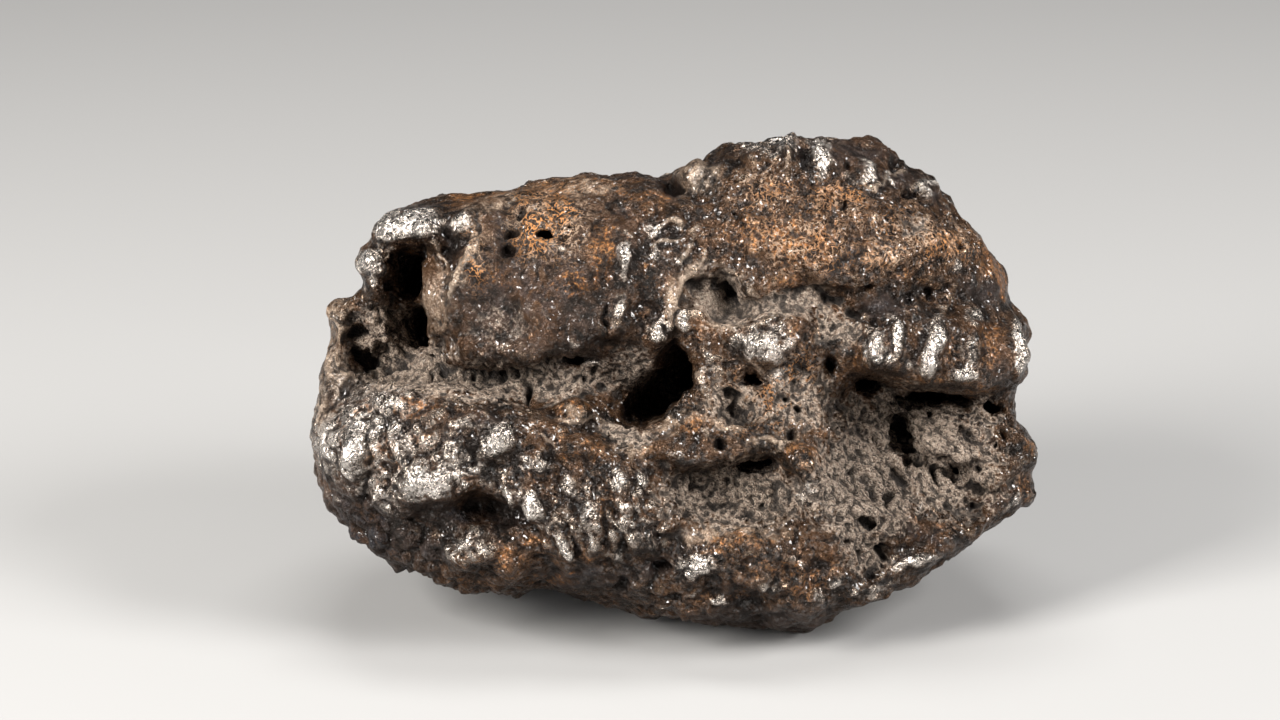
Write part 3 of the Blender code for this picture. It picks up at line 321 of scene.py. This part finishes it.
def lumps(points, size, seed):
    """Smooth noise between about -1 and 1, whose lumps are size millimetres wide."""
    place = points / size + seed * 7.31
    cell = np.floor(place).astype(np.int64)
    part = place - cell
    ease = part * part * part * (part * (part * 6 - 15) + 10)
    total = np.zeros(len(points))
    for dx in (0, 1):
        for dy in (0, 1):
            for dz in (0, 1):
                h = scramble(cell[:, 0] + dx, cell[:, 1] + dy, cell[:, 2] + dz, seed)
                slope = ((h & 1023) / 511.5 - 1) * (part[:, 0] - dx)
                slope += (((h >> 10) & 1023) / 511.5 - 1) * (part[:, 1] - dy)
                slope += (((h >> 20) & 1023) / 511.5 - 1) * (part[:, 2] - dz)
                weight = np.abs(1 - dx - ease[:, 0]) * np.abs(1 - dy - ease[:, 1])
                total += slope * weight * np.abs(1 - dz - ease[:, 2])
    return total * 1.5


def cells(points, size, seed):
    """Distance to the nearest scattered seed, in cells, and that seed's own random share."""
    place = points / size + seed * 3.77
    cell = np.floor(place).astype(np.int64)
    nearest = np.full(len(points), 9.0)
    chance = np.zeros(len(points))
    for dx in (-1, 0, 1):
        for dy in (-1, 0, 1):
            for dz in (-1, 0, 1):
                x, y, z = cell[:, 0] + dx, cell[:, 1] + dy, cell[:, 2] + dz
                h = scramble(x, y, z, seed)
                gap = (place[:, 0] - x - (h & 1023) / 1023) ** 2
                gap += (place[:, 1] - y - ((h >> 10) & 1023) / 1023) ** 2
                gap += (place[:, 2] - z - ((h >> 20) & 1023) / 1023) ** 2
                closer = gap < nearest
                chance = np.where(closer, ((h >> 5) & 4095) / 4095, chance)
                nearest = np.where(closer, gap, nearest)
    return np.sqrt(nearest), chance


def facets(points, size, seed):
    """Chips about size millimetres wide, each tilted its own way, that meet in sharp valleys."""
    place = points / size + seed * 3.77
    cell = np.floor(place).astype(np.int64)
    best = np.full(len(points), -9.0)
    for dx in (-1, 0, 1):
        for dy in (-1, 0, 1):
            for dz in (-1, 0, 1):
                x, y, z = cell[:, 0] + dx, cell[:, 1] + dy, cell[:, 2] + dz
                h = scramble(x, y, z, seed)
                t = scramble(x, y, z, seed + 50)
                right = place[:, 0] - x - (h & 1023) / 1023
                back = place[:, 1] - y - ((h >> 10) & 1023) / 1023
                above = place[:, 2] - z - ((h >> 20) & 1023) / 1023
                rise = right * ((t & 1023) / 511.5 - 1) + back * (((t >> 10) & 1023) / 511.5 - 1)
                rise += above * (((t >> 20) & 1023) / 511.5 - 1)
                rise -= 0.9 * (right ** 2 + back ** 2 + above ** 2)
                best = np.maximum(best, rise)
    return best * size


def oval_reach(oval, across, up):
    """0 at an oval's middle, 1 on its edge, and more outside."""
    turn = math.radians(oval[4])
    right, above = across - oval[0], up - oval[1]
    wide = (right * math.cos(turn) + above * math.sin(turn)) / oval[2]
    high = (above * math.cos(turn) - right * math.sin(turn)) / oval[3]
    return np.sqrt(wide ** 2 + high ** 2)


def painted(ovals, across, up):
    """The strongest of the soft-edged ovals at each place."""
    total = np.zeros_like(across)
    for oval in ovals:
        total = np.maximum(total, oval[5] * np.exp(-0.7 * oval_reach(oval, across, up) ** 3))
    return total


def line_gap(line, across, up):
    """Distance to the nearest stretch of a line."""
    nearest = np.full_like(across, np.inf)
    for (x0, y0), (x1, y1) in zip(line, line[1:]):
        run, climb = x1 - x0, y1 - y0
        share = ((across - x0) * run + (up - y0) * climb) / (run * run + climb * climb)
        share = np.clip(share, 0, 1)
        gap = np.hypot(across - x0 - share * run, up - y0 - share * climb)
        nearest = np.minimum(nearest, gap)
    return nearest


def average_near(values, edges, times):
    """Each point's value averaged with its neighbours', a number of times over."""
    a, b = edges[:, 0], edges[:, 1]
    count = np.bincount(a, minlength=len(values)) + np.bincount(b, minlength=len(values))
    flat = values.reshape(len(values), -1)
    for _ in range(times):
        near = np.empty_like(flat)
        for column in range(flat.shape[1]):
            total = np.bincount(a, flat[b, column], len(flat))
            total += np.bincount(b, flat[a, column], len(flat))
            near[:, column] = total / count
        flat = 0.4 * flat + 0.6 * near
    return flat.reshape(values.shape)


def read_vectors(items, name, width=3):
    """Places and normals with width 3, and the ends of edges with width 2."""
    values = np.empty(len(items) * width, np.float32 if width == 3 else np.int32)
    items.foreach_get(name, values)
    return values.reshape(-1, width).astype(float if width == 3 else np.int64)


def even_mesh(source):
    """The solid's surface again, in small even faces."""
    mesh = source.data.copy()
    weld = bmesh.new()
    weld.from_mesh(mesh)
    bmesh.ops.remove_doubles(weld, verts=weld.verts, dist=1e-6)
    weld.to_mesh(mesh)
    weld.free()
    rough = bpy.data.objects.new("even", mesh)
    bpy.context.scene.collection.objects.link(rough)
    remesh = rough.modifiers.new("even_skin", "REMESH")
    remesh.mode = "VOXEL"
    remesh.voxel_size = VOXEL * MM
    bpy.context.view_layer.update()
    graph = bpy.context.evaluated_depsgraph_get()
    fine = bpy.data.meshes.new_from_object(rough.evaluated_get(graph))
    bpy.data.objects.remove(rough)
    return fine


def on_face(places):
    """World places in metres as across, up and out on the face, in millimetres."""
    moved = (places - np.array(FACE_MIDDLE)) / MM
    across, back, above = moved.T
    out = -back * math.cos(FACE_LEAN) + above * math.sin(FACE_LEAN)
    up = back * math.sin(FACE_LEAN) + above * math.cos(FACE_LEAN)
    return across, up, out


def relief(places, across, up, out, front, dusty, masks):
    """Height of the fine relief above the plain surface, in millimetres."""
    points = places / MM
    lumpy, grainy, calm = masks["lumpy"], masks["grainy"], masks["calm"]
    warp = np.stack([lumps(points, 3.0, seed) for seed in (1, 2, 3)], axis=1)
    bent = points + 1.1 * warp
    # Knobs that meet in creases, then chips of two sizes.
    knobs = np.abs(lumps(bent, 6.5, 10)) * 2.4 + np.abs(lumps(bent, 3.1, 11)) * 1.1 - 0.85
    chips = facets(bent, 2.9, 4) * 0.26 + facets(bent, 1.6, 5) * 0.32
    chips += np.abs(lumps(bent, 2.1, 19)) * 0.5 - 0.15
    grains = facets(points, 1.1, 12) * 0.5 + lumps(points, 0.8, 7) * 0.25
    height = knobs * (0.2 + 0.7 * lumpy) + chips * 0.75 + grains * 0.8 * grainy
    # Porous ground: shreds that run down to the right, with deep gaps between them.
    shred_place = np.stack([0.4 * (0.79 * across - 0.61 * up), 0.61 * across + 0.79 * up, out], axis=1)
    shreds = lumps(shred_place + 0.35 * warp, 1.5, 13) * 1.3
    crumbs = facets(points + 0.4 * warp, 1.1, 14) * 0.5 + lumps(points, 0.8, 15) * 0.55
    pore_near, pore_chance = cells(points + 1.0 * warp, 2.6, 8)
    pore = 1 - smooth_step(0.1, 0.45, pore_near / (0.1 + 0.95 * pore_chance ** 2))
    porous = shreds * (0.3 + 0.7 * masks["shred"]) + crumbs - 1.4 * pore - 0.1
    height = (height * (1 - DUST_COVER * dusty) + porous * dusty) * (1 - CALM_COVER * calm)
    rubble = facets(points + 0.6 * warp, 2.4, 20) * 0.55 + facets(points + 0.4 * warp, 1.4, 21) * 0.5
    height += (rubble - 0.2) * masks["rubble"]
    # Flutes that run down the foot.
    slant = np.stack([across * 0.9 + up * 0.5, up * 0.4 - across * 0.2, out * 0.5], axis=1)
    flute = np.abs(lumps(slant + 0.7 * warp, 1.9, 9)) * 2.0 - 0.4
    height += flute * 0.6 * masks["flutes"] * (1 - dusty)
    wild = lumps(points, 1.3, 16)
    wild_across, wild_up = across + 0.5 * wild + 0.4 * warp[:, 0], up + 0.5 * lumps(points, 1.3, 17)
    uneven = 0.65 + 0.6 * lumps(points, 3.5, 18)
    masks["rim"] = np.zeros_like(height)
    for line, width, rise in RIDGES:
        reach = line_gap(line, wild_across, wild_up) / (width * (0.8 + 0.6 * uneven))
        near_line = front * uneven * np.exp(-reach ** 2)
        height += 1.3 * rise * near_line
        if rise > 0 and width < WIDEST_RIM:
            masks["rim"] = np.maximum(masks["rim"], near_line)
    for pit in PITS:
        reach = oval_reach(pit, wild_across, wild_up)
        height -= front * pit[5] * (1 - smooth_step(0.45, 1.2, reach))
    for knob in KNOBS:
        reach = oval_reach(knob, across + 0.8 * warp[:, 0], up + 0.8 * warp[:, 1])
        height += front * knob[5] * (1 - smooth_step(0.3, 1.25, reach))
    return height


def smoothed(mesh):
    """Irons out the solid's flat facets, without the flat foot, and gives the new places."""
    places = read_vectors(mesh.vertices, "co")
    edges = read_vectors(mesh.edges, "vertices", 2)
    foot = places[:, 2] < FLAT_FOOT * MM
    smooth = places.copy()
    for _ in range(3):
        soft = average_near(smooth, edges, 8)
        smooth = soft + 0.4 * (smooth - soft)
    smooth[foot] = places[foot]
    mesh.vertices.foreach_set("co", smooth.astype(np.float32).ravel())
    mesh.update()
    return smooth


def paint_fields(points, across, up, front):
    """The strength of each field at each place, and the slow and quick noise behind its edges."""
    wobble = lumps(points, 3.2, 22)
    small = lumps(points, 1.2, 23)
    loose_across, loose_up = across + 1.2 * wobble, up + 1.2 * small + lumps(points, 4, 27)
    masks = {}
    for name, (ovals, width, share) in FIELDS.items():
        there = painted(ovals, loose_across, loose_up) * front
        elsewhere = (1 - front) * share * smooth_step(0.0, 0.5, lumps(points, width, 30 + len(masks)))
        masks[name] = there + elsewhere
    return masks, wobble, small


def store_masks(mesh, shaped, small, masks):
    """Adds the crests, hollows and undersides, and keeps what the material reads."""
    # Crests and hollows of two sizes come from how far each point lies off its surroundings.
    normals = read_vectors(mesh.vertices, "normal")
    edges = read_vectors(mesh.edges, "vertices", 2)
    near = average_near(shaped, edges, 5)
    wide = average_near(near, edges, 40)
    masks["crest"] = 0.5 + np.einsum("ij,ij->i", shaped - near, normals) / MM * 4
    masks["swell"] = 0.5 + np.einsum("ij,ij->i", near - wide, normals) / MM * 0.9
    masks["under"] = smooth_step(0.05, 0.75, 0.25 * small - average_near(normals, edges, 20)[:, 2])
    for name in MATERIAL_READS:
        attribute = mesh.attributes.new(name, "FLOAT", "POINT")
        attribute.data.foreach_set("value", np.clip(masks[name], 0, 1).astype(np.float32))


def thin_out(stone, behind):
    """Brings the mesh under its limit, with most of the loss behind the face."""
    keep = stone.vertex_groups.new(name="may_thin")
    for index, share in enumerate(np.round(0.4 + 0.6 * behind, 2)):
        keep.add((index,), float(share), "REPLACE")
    triangles = 2 * len(stone.data.polygons)
    thin = stone.modifiers.new("fewer_triangles", "DECIMATE")
    thin.ratio = min(1.0, MOST_TRIANGLES / triangles)
    thin.vertex_group = "may_thin"
    thin.vertex_group_factor = 0.0002
    bpy.context.view_layer.update()
    graph = bpy.context.evaluated_depsgraph_get()
    stone.data = bpy.data.meshes.new_from_object(stone.evaluated_get(graph))
    stone.modifiers.clear()
    stone.vertex_groups.clear()


def make_stone(source):
    mesh = even_mesh(source)
    smooth = smoothed(mesh)
    points = smooth / MM
    normals = read_vectors(mesh.vertices, "normal")
    across, up, out = on_face(smooth)
    front = smooth_step(*FRONT_FADE, out)
    masks, wobble, small = paint_fields(points, across, up, front)
    dusty = smooth_step(0.3, 0.6, masks["dust"] + 0.15 * wobble)
    height = relief(smooth, across, up, out, front, dusty, masks)
    height *= smooth_step(0.0, FOOT_FADE, points[:, 2])
    shaped = smooth + normals * height[:, None] * MM
    shaped[:, 2] = np.maximum(shaped[:, 2], 0.0)
    mesh.vertices.foreach_set("co", shaped.astype(np.float32).ravel())
    mesh.update()
    store_masks(mesh, shaped, small, masks)
    stone = bpy.data.objects.new("stone", mesh)
    bpy.context.scene.collection.objects.link(stone)
    mesh.shade_smooth()
    thin_out(stone, 1 - front)
    return stone


class Shader:
    """Short ways to add and join shader nodes."""

    def __init__(self, material):
        material.use_nodes = True
        self.tree = material.node_tree
        self.principled = self.tree.nodes["Principled BSDF"]
        self.place = self.tree.nodes.new("ShaderNodeTexCoord").outputs["Object"]

    def put(self, socket, value):
        if isinstance(value, bpy.types.NodeSocket):
            self.tree.links.new(value, socket)
        else:
            socket.default_value = value

    def attribute(self, name):
        node = self.tree.nodes.new("ShaderNodeAttribute")
        node.attribute_name = name
        return node.outputs["Fac"]

    def stretched(self, turn, tilt, stretch):
        """Object coordinates that stretch patterns along a line on the face."""
        node = self.tree.nodes.new("ShaderNodeMapping")
        node.vector_type = "TEXTURE"
        self.put(node.inputs["Vector"], self.place)
        node.inputs["Rotation"].default_value = (tilt, turn, 0.0)
        node.inputs["Scale"].default_value = (stretch, 1.0, 1.0)
        return node.outputs["Vector"]

    def noise(self, scale, detail=4.0, rough=0.6, warp=0.0, place=None):
        node = self.tree.nodes.new("ShaderNodeTexNoise")
        self.put(node.inputs["Vector"], place or self.place)
        node.inputs["Scale"].default_value = scale
        node.inputs["Detail"].default_value = detail
        node.inputs["Roughness"].default_value = rough
        node.inputs["Distortion"].default_value = warp
        return node.outputs["Fac"]

    def vector(self, kind, a, b):
        node = self.tree.nodes.new("ShaderNodeVectorMath")
        node.operation = kind
        self.put(node.inputs[0], a)
        self.put(node.inputs[1], b)
        return node.outputs["Value" if kind == "DOT_PRODUCT" else "Vector"]

    def ragged(self, place, scale, reach):
        """A place shifted by noise, so that patterns there get uneven edges."""
        node = self.tree.nodes.new("ShaderNodeTexNoise")
        self.put(node.inputs["Vector"], place)
        node.inputs["Scale"].default_value = scale
        node.inputs["Detail"].default_value = 1.0
        shift = self.vector("SUBTRACT", node.outputs["Color"], (0.5, 0.5, 0.5))
        shift = self.vector("MULTIPLY", shift, (reach, reach, reach))
        return self.vector("ADD", place, shift)

    def tilted_chips(self, scale, place):
        """Height of small flat chips, each tilted its own way, in metres."""
        node = self.tree.nodes.new("ShaderNodeTexVoronoi")
        self.put(node.inputs["Vector"], place)
        node.inputs["Scale"].default_value = scale
        tilt = self.vector("SUBTRACT", node.outputs["Color"], (0.5, 0.5, 0.5))
        away = self.vector("SUBTRACT", place, node.outputs["Position"])
        return self.vector("DOT_PRODUCT", tilt, away)

    def from_middle(self, value):
        """How far a noise value is from its middle, which is small along thin winding lines."""
        return self.math("ABSOLUTE", self.math("SUBTRACT", value, 0.5))

    def math(self, kind, a, b=0.0):
        node = self.tree.nodes.new("ShaderNodeMath")
        node.operation = kind
        self.put(node.inputs[0], a)
        self.put(node.inputs[1], b)
        return node.outputs[0]

    def ramp(self, value, low, high, start=0.0, end=1.0):
        node = self.tree.nodes.new("ShaderNodeMapRange")
        node.interpolation_type = "SMOOTHSTEP"
        self.put(node.inputs["Value"], value)
        for name, number in (("From Min", low), ("From Max", high), ("To Min", start), ("To Max", end)):
            node.inputs[name].default_value = number
        return node.outputs["Result"]

    def mix(self, share, a, b):
        """Colours a and b, mixed."""
        node = self.tree.nodes.new("ShaderNodeMix")
        node.data_type = "RGBA"
        self.put(node.inputs[0], share)
        self.put(node.inputs[6], a)
        self.put(node.inputs[7], b)
        return node.outputs[2]

    def blend(self, share, a, b):
        """Numbers a and b, mixed."""
        node = self.tree.nodes.new("ShaderNodeMix")
        node.data_type = "FLOAT"
        self.put(node.inputs[0], share)
        self.put(node.inputs[2], a)
        self.put(node.inputs[3], b)
        return node.outputs[0]

    def bump(self, height, strength, distance, under=None):
        node = self.tree.nodes.new("ShaderNodeBump")
        self.put(node.inputs["Height"], height)
        self.put(node.inputs["Strength"], strength)
        node.inputs["Distance"].default_value = distance
        if under is not None:
            self.put(node.inputs["Normal"], under)
        return node.outputs["Normal"]


def rgb(r, g, b):
    return (r, g, b, 1.0)


def stone_material():
    material = bpy.data.materials.new("meteorite_skin")
    s = Shader(material)
    crest, swell = s.attribute("crest"), s.attribute("swell")
    rust_mask, dust_mask = s.attribute("rust"), s.attribute("dust")
    shine_mask, dark_crust_and_shade_mask = s.attribute("shine"), s.attribute("dark")
    calm_mask, under = s.attribute("calm"), s.attribute("under")
    pale_mask, lace_mask = s.attribute("pale"), s.attribute("lace")
    patches = s.noise(150, 5, 0.6)
    mottle = s.noise(600, 6, 0.65, 0.4)
    speckle = s.noise(1900, 4, 0.6)
    grit = s.noise(4200, 3, 0.6)
    wrinkles = s.noise(900, 3, 0.5, 0.8)
    threads = s.noise(2700, 3, 0.6, 0.6, s.stretched(math.radians(38), -FACE_LEAN, 2.0))
    cracks = s.math("MINIMUM", s.from_middle(wrinkles), s.from_middle(s.noise(1700, 2, 0.5, 0.6)))

    # Brown oxide over dark iron.
    base = s.mix(s.ramp(mottle, 0.38, 0.62), rgb(0.013, 0.010, 0.008), rgb(0.078, 0.041, 0.021))
    base = s.mix(s.ramp(patches, 0.42, 0.62, 0, 0.7), base, rgb(0.115, 0.056, 0.025))
    # Near-black crust, which is partly painted shade under the left lobe and in grooves.
    crust_and_shade_darkness = s.math("MULTIPLY", dark_crust_and_shade_mask, s.ramp(mottle, 0.35, 0.6))
    base = s.mix(crust_and_shade_darkness, base, rgb(0.026, 0.025, 0.028))
    # Bare metal, most of all on the crests.
    metal_share = s.math("ADD", s.math("MULTIPLY", shine_mask, 0.68), s.math("MULTIPLY", crest, 0.42))
    metal_share = s.math("ADD", metal_share, s.math("MULTIPLY", s.math("SUBTRACT", mottle, 0.5), 2.6))
    # Less bare metal on undersides keeps them dark brown: painted shade.
    metal_share = s.math("SUBTRACT", metal_share, s.math("MULTIPLY", under, 0.45))
    metal_share = s.math("SUBTRACT", metal_share, s.math("MULTIPLY", dark_crust_and_shade_mask, 0.35))
    metal_amount = s.ramp(metal_share, 0.36, 0.78)
    metal_colour = s.mix(shine_mask, rgb(0.23, 0.172, 0.125), rgb(0.68, 0.625, 0.57))
    metal_colour = s.mix(s.ramp(cracks, 0.004, 0.028, 0.9, 0.0), metal_colour, rgb(0.045, 0.030, 0.020))
    base = s.mix(metal_amount, base, metal_colour)
    # Pale tan along the thin ridges.
    rim = s.ramp(s.math("ADD", s.attribute("rim"), s.math("MULTIPLY", speckle, 0.4)), 0.4, 1.1, 0, 0.8)
    base = s.mix(rim, base, rgb(0.40, 0.31, 0.235))
    # Rust, strongest in the small hollows.
    rust_colour = s.mix(s.ramp(speckle, 0.36, 0.64), rgb(0.036, 0.014, 0.006), rgb(0.44, 0.17, 0.042))
    rust_colour = s.mix(s.ramp(threads, 0.50, 0.58, 0.0, 0.8), rust_colour, rgb(0.62, 0.29, 0.09))
    rust_colour = s.mix(s.ramp(cracks, 0.003, 0.022, 0.8, 0.0), rust_colour, rgb(0.022, 0.010, 0.006))
    rust_share = s.math("ADD", s.math("MULTIPLY", rust_mask, 0.5), s.math("MULTIPLY", patches, 0.45))
    rust_share = s.math("ADD", rust_share, s.math("MULTIPLY", s.math("SUBTRACT", speckle, 0.5), 0.9))
    rust_share = s.math("ADD", rust_share, s.math("MULTIPLY", s.math("SUBTRACT", mottle, 0.5), 1.0))
    rust_share = s.math("ADD", rust_share, s.math("MULTIPLY", s.math("SUBTRACT", 0.5, crest), 0.4))
    rust_amount = s.ramp(rust_share, 0.45, 1.0, 0.0, 0.9)
    base = s.mix(rust_amount, base, rust_colour)
    # Pale tan ground, and a fine tan and orange lacework.
    pale_amount = s.math("MULTIPLY", pale_mask, s.ramp(mottle, 0.40, 0.56, 0.1, 0.9))
    pale_colour = s.mix(s.ramp(grit, 0.45, 0.6), rgb(0.20, 0.135, 0.09), rgb(0.56, 0.44, 0.33))
    base = s.mix(pale_amount, base, pale_colour)
    strands = s.ramp(s.from_middle(s.noise(1250, 2, 0.5, 0.4)), 0.018, 0.05, 0.75, 0.0)
    strands = s.math("MULTIPLY", strands, lace_mask)
    lace_colour = s.mix(s.ramp(patches, 0.42, 0.58), rgb(0.64, 0.28, 0.085), rgb(0.60, 0.43, 0.30))
    lace_gaps = s.math("MULTIPLY", lace_mask, s.ramp(speckle, 0.42, 0.5, 0.75, 0.0))
    base = s.mix(lace_gaps, base, rgb(0.018, 0.010, 0.007))
    base = s.mix(strands, base, lace_colour)
    # Dust in the porous hollows, with painted shade: near-black in its small hollows and in the gaps between
    # its threads.
    dust_colour = s.mix(s.ramp(speckle, 0.38, 0.60), rgb(0.22, 0.155, 0.112), rgb(0.52, 0.40, 0.31))
    dust_colour = s.mix(s.ramp(grit, 0.48, 0.60, 0, 0.8), dust_colour, rgb(0.80, 0.66, 0.53))
    # Painted shade in the dust's small hollows.
    dust_colour = s.mix(s.ramp(crest, 0.15, 0.48, 0.55, 0.0), dust_colour, rgb(0.030, 0.020, 0.014))
    painted_gap_shade = s.math("MULTIPLY", s.ramp(threads, 0.38, 0.48, 0.85, 0.0), s.ramp(calm_mask, 0.0, 1.0, 1.0, 0.35))
    dust_colour = s.mix(painted_gap_shade, dust_colour, rgb(0.018, 0.012, 0.009))
    dust_share = s.math("ADD", dust_mask, s.math("MULTIPLY", s.math("SUBTRACT", mottle, 0.5), 0.6))
    dust_share = s.math("ADD", dust_share, s.math("MULTIPLY", s.math("SUBTRACT", speckle, 0.5), 0.7))
    dust_share = s.math("ADD", dust_share, s.math("MULTIPLY", s.math("SUBTRACT", 0.5, crest), 0.5))
    dust_amount = s.ramp(dust_share, 0.30, 0.66, 0.0, 0.96)
    base = s.mix(dust_amount, base, dust_colour)
    # Painted shade: the colour is darkened to near-black in deep and wide hollows, creases and undersides.
    painted_hollow_shade = s.ramp(crest, 0.18, 0.50, 0.85, 0.0)
    painted_hollow_shade = s.math("MULTIPLY", painted_hollow_shade, s.ramp(dust_amount, 0.0, 1.0, 1.0, 0.5))
    base = s.mix(painted_hollow_shade, base, rgb(0.012, 0.008, 0.006))
    painted_underside_shade = s.math("MULTIPLY", under, s.ramp(mottle, 0.35, 0.65, 0.85, 0.45))
    base = s.mix(painted_underside_shade, base, rgb(0.022, 0.014, 0.010))
    base = s.mix(s.ramp(swell, 0.08, 0.46, 0.8, 0.0), base, rgb(0.012, 0.008, 0.006))

    matte = s.math("MAXIMUM", dust_amount, s.math("MULTIPLY", rust_amount, 0.45))
    matte = s.math("MAXIMUM", matte, s.math("MAXIMUM", s.math("MULTIPLY", pale_amount, 0.7), strands))
    crust_roughness = s.ramp(speckle, 0.3, 0.7, 0.20, 0.38)
    metal_roughness = s.ramp(speckle, 0.3, 0.7, 0.16, 0.32)
    roughness = s.blend(metal_amount, crust_roughness, metal_roughness)
    roughness = s.blend(matte, s.blend(dark_crust_and_shade_mask, roughness, 0.42), 0.8)
    metallic = s.blend(matte, s.blend(metal_amount, s.blend(dark_crust_and_shade_mask, 0.6, 0.2), 1.0), 0.05)
    s.put(s.principled.inputs["Base Color"], base)
    s.put(s.principled.inputs["Roughness"], roughness)
    s.put(s.principled.inputs["Metallic"], metallic)
    s.put(s.principled.inputs["Specular IOR Level"], s.blend(s.math("MAXIMUM", dark_crust_and_shade_mask, under), 0.5, 0.12))

    # Small flat crystals, each tilted its own way, under a thin shiny crust.
    slanted = s.ragged(s.stretched(math.radians(58), -FACE_LEAN, 1.7), 900, 0.0006)
    glint = s.math("MULTIPLY", s.tilted_chips(850, slanted), 0.8)
    glint = s.math("ADD", glint, s.math("MULTIPLY", s.tilted_chips(2000, slanted), 0.35))
    glint = s.math("ADD", glint, s.math("MULTIPLY", wrinkles, 0.0008))
    glint = s.math("ADD", glint, s.ramp(cracks, 0.0, 0.035, -0.00016, 0.0))
    quiet = s.math("MAXIMUM", s.math("MAXIMUM", matte, calm_mask), s.math("MULTIPLY", shine_mask, 0.4))
    normal = s.bump(glint, s.blend(quiet, 1.0, 0.4), 1.0)
    crust = s.math("MULTIPLY", s.tilted_chips(2900, slanted), 1.3)
    crust = s.math("ADD", crust, s.math("MULTIPLY", s.tilted_chips(1000, slanted), 0.5))
    s.put(s.principled.inputs["Coat Normal"], s.bump(crust, 1.0, 1.0))
    bare = s.math("MULTIPLY", s.ramp(speckle, 0.50, 0.60), s.ramp(mottle, 0.36, 0.52))
    bare = s.math("SUBTRACT", bare, s.math("MULTIPLY", s.math("MAXIMUM", under, dark_crust_and_shade_mask), 0.6))
    bare = s.math("MAXIMUM", s.math("SUBTRACT", bare, s.math("MULTIPLY", rust_amount, 0.6)), 0.0)
    s.put(s.principled.inputs["Coat Weight"], s.blend(dust_amount, bare, 0.0))
    s.principled.inputs["Coat Roughness"].default_value = 0.12
    s.principled.inputs["Coat IOR"].default_value = 1.8
    fine_grain = s.math("ADD", speckle, s.math("MULTIPLY", grit, 0.5))
    grain = s.math("ADD", s.math("MULTIPLY", threads, 1.6), fine_grain)
    normal = s.bump(grain, dust_amount, 0.0014, normal)
    s.put(s.principled.inputs["Normal"], normal)
    return material


def face_matrix():
    return Matrix.Translation(FACE_MIDDLE) @ Matrix.Rotation(-FACE_LEAN, 4, "X")


def add_camera():
    data = bpy.data.cameras.new("camera")
    data.lens = LENS
    data.sensor_width = SENSOR
    camera = bpy.data.objects.new("camera", data)
    bpy.context.scene.collection.objects.link(camera)
    square_on = Matrix.Translation(VIEWER * MM)
    camera.matrix_world = face_matrix() @ square_on @ Matrix.Rotation(math.radians(90), 4, "X")
    bpy.context.scene.camera = camera


def add_light(name, place, size, power, colour):
    data = bpy.data.lights.new(name, "AREA")
    data.shape = "RECTANGLE"
    data.size, data.size_y = size
    data.energy = power
    data.color = colour
    lamp = bpy.data.objects.new(name, data)
    bpy.context.scene.collection.objects.link(lamp)
    lamp.location = place
    aim = Vector((0, 0, 0.032)) - Vector(place)
    lamp.rotation_euler = aim.to_track_quat("-Z", "Y").to_euler()


def add_studio():
    bpy.ops.mesh.primitive_plane_add(size=6, location=(0, 0, 0))
    floor = bpy.context.object
    floor.name = "floor"
    material = bpy.data.materials.new("floor_paint")
    material.use_nodes = True
    shader = material.node_tree.nodes["Principled BSDF"]
    shader.inputs["Base Color"].default_value = rgb(0.38, 0.378, 0.375)
    shader.inputs["Roughness"].default_value = 0.7
    floor.data.materials.append(material)
    world = bpy.data.worlds.new("studio")
    bpy.context.scene.world = world
    world.use_nodes = True
    world.node_tree.nodes["Background"].inputs["Color"].default_value = rgb(0.8, 0.85, 0.95)
    world.node_tree.nodes["Background"].inputs["Strength"].default_value = 0.05
    add_light("key", (-0.50, -0.37, 0.42), (0.26, 0.34), 9.6, (1.0, 0.97, 0.93))
    add_light("fill", (0.56, -0.27, 0.44), (0.24, 0.34), 7.8, (1.0, 0.98, 0.96))
    add_light("low_left", (-0.60, -0.34, 0.13), (0.12, 0.24), 2.0, (1.0, 0.98, 0.96))
    add_light("top", (0.02, 0.10, 0.75), (0.45, 0.22), 3.2, (1.0, 0.99, 0.97))
    bpy.context.scene.view_settings.view_transform = "Standard"


stone = make_stone(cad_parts["meteorite"])
stone.data.materials.clear()
stone.data.materials.append(stone_material())
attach(stone, "root")
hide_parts("meteorite")
add_studio()
add_camera()
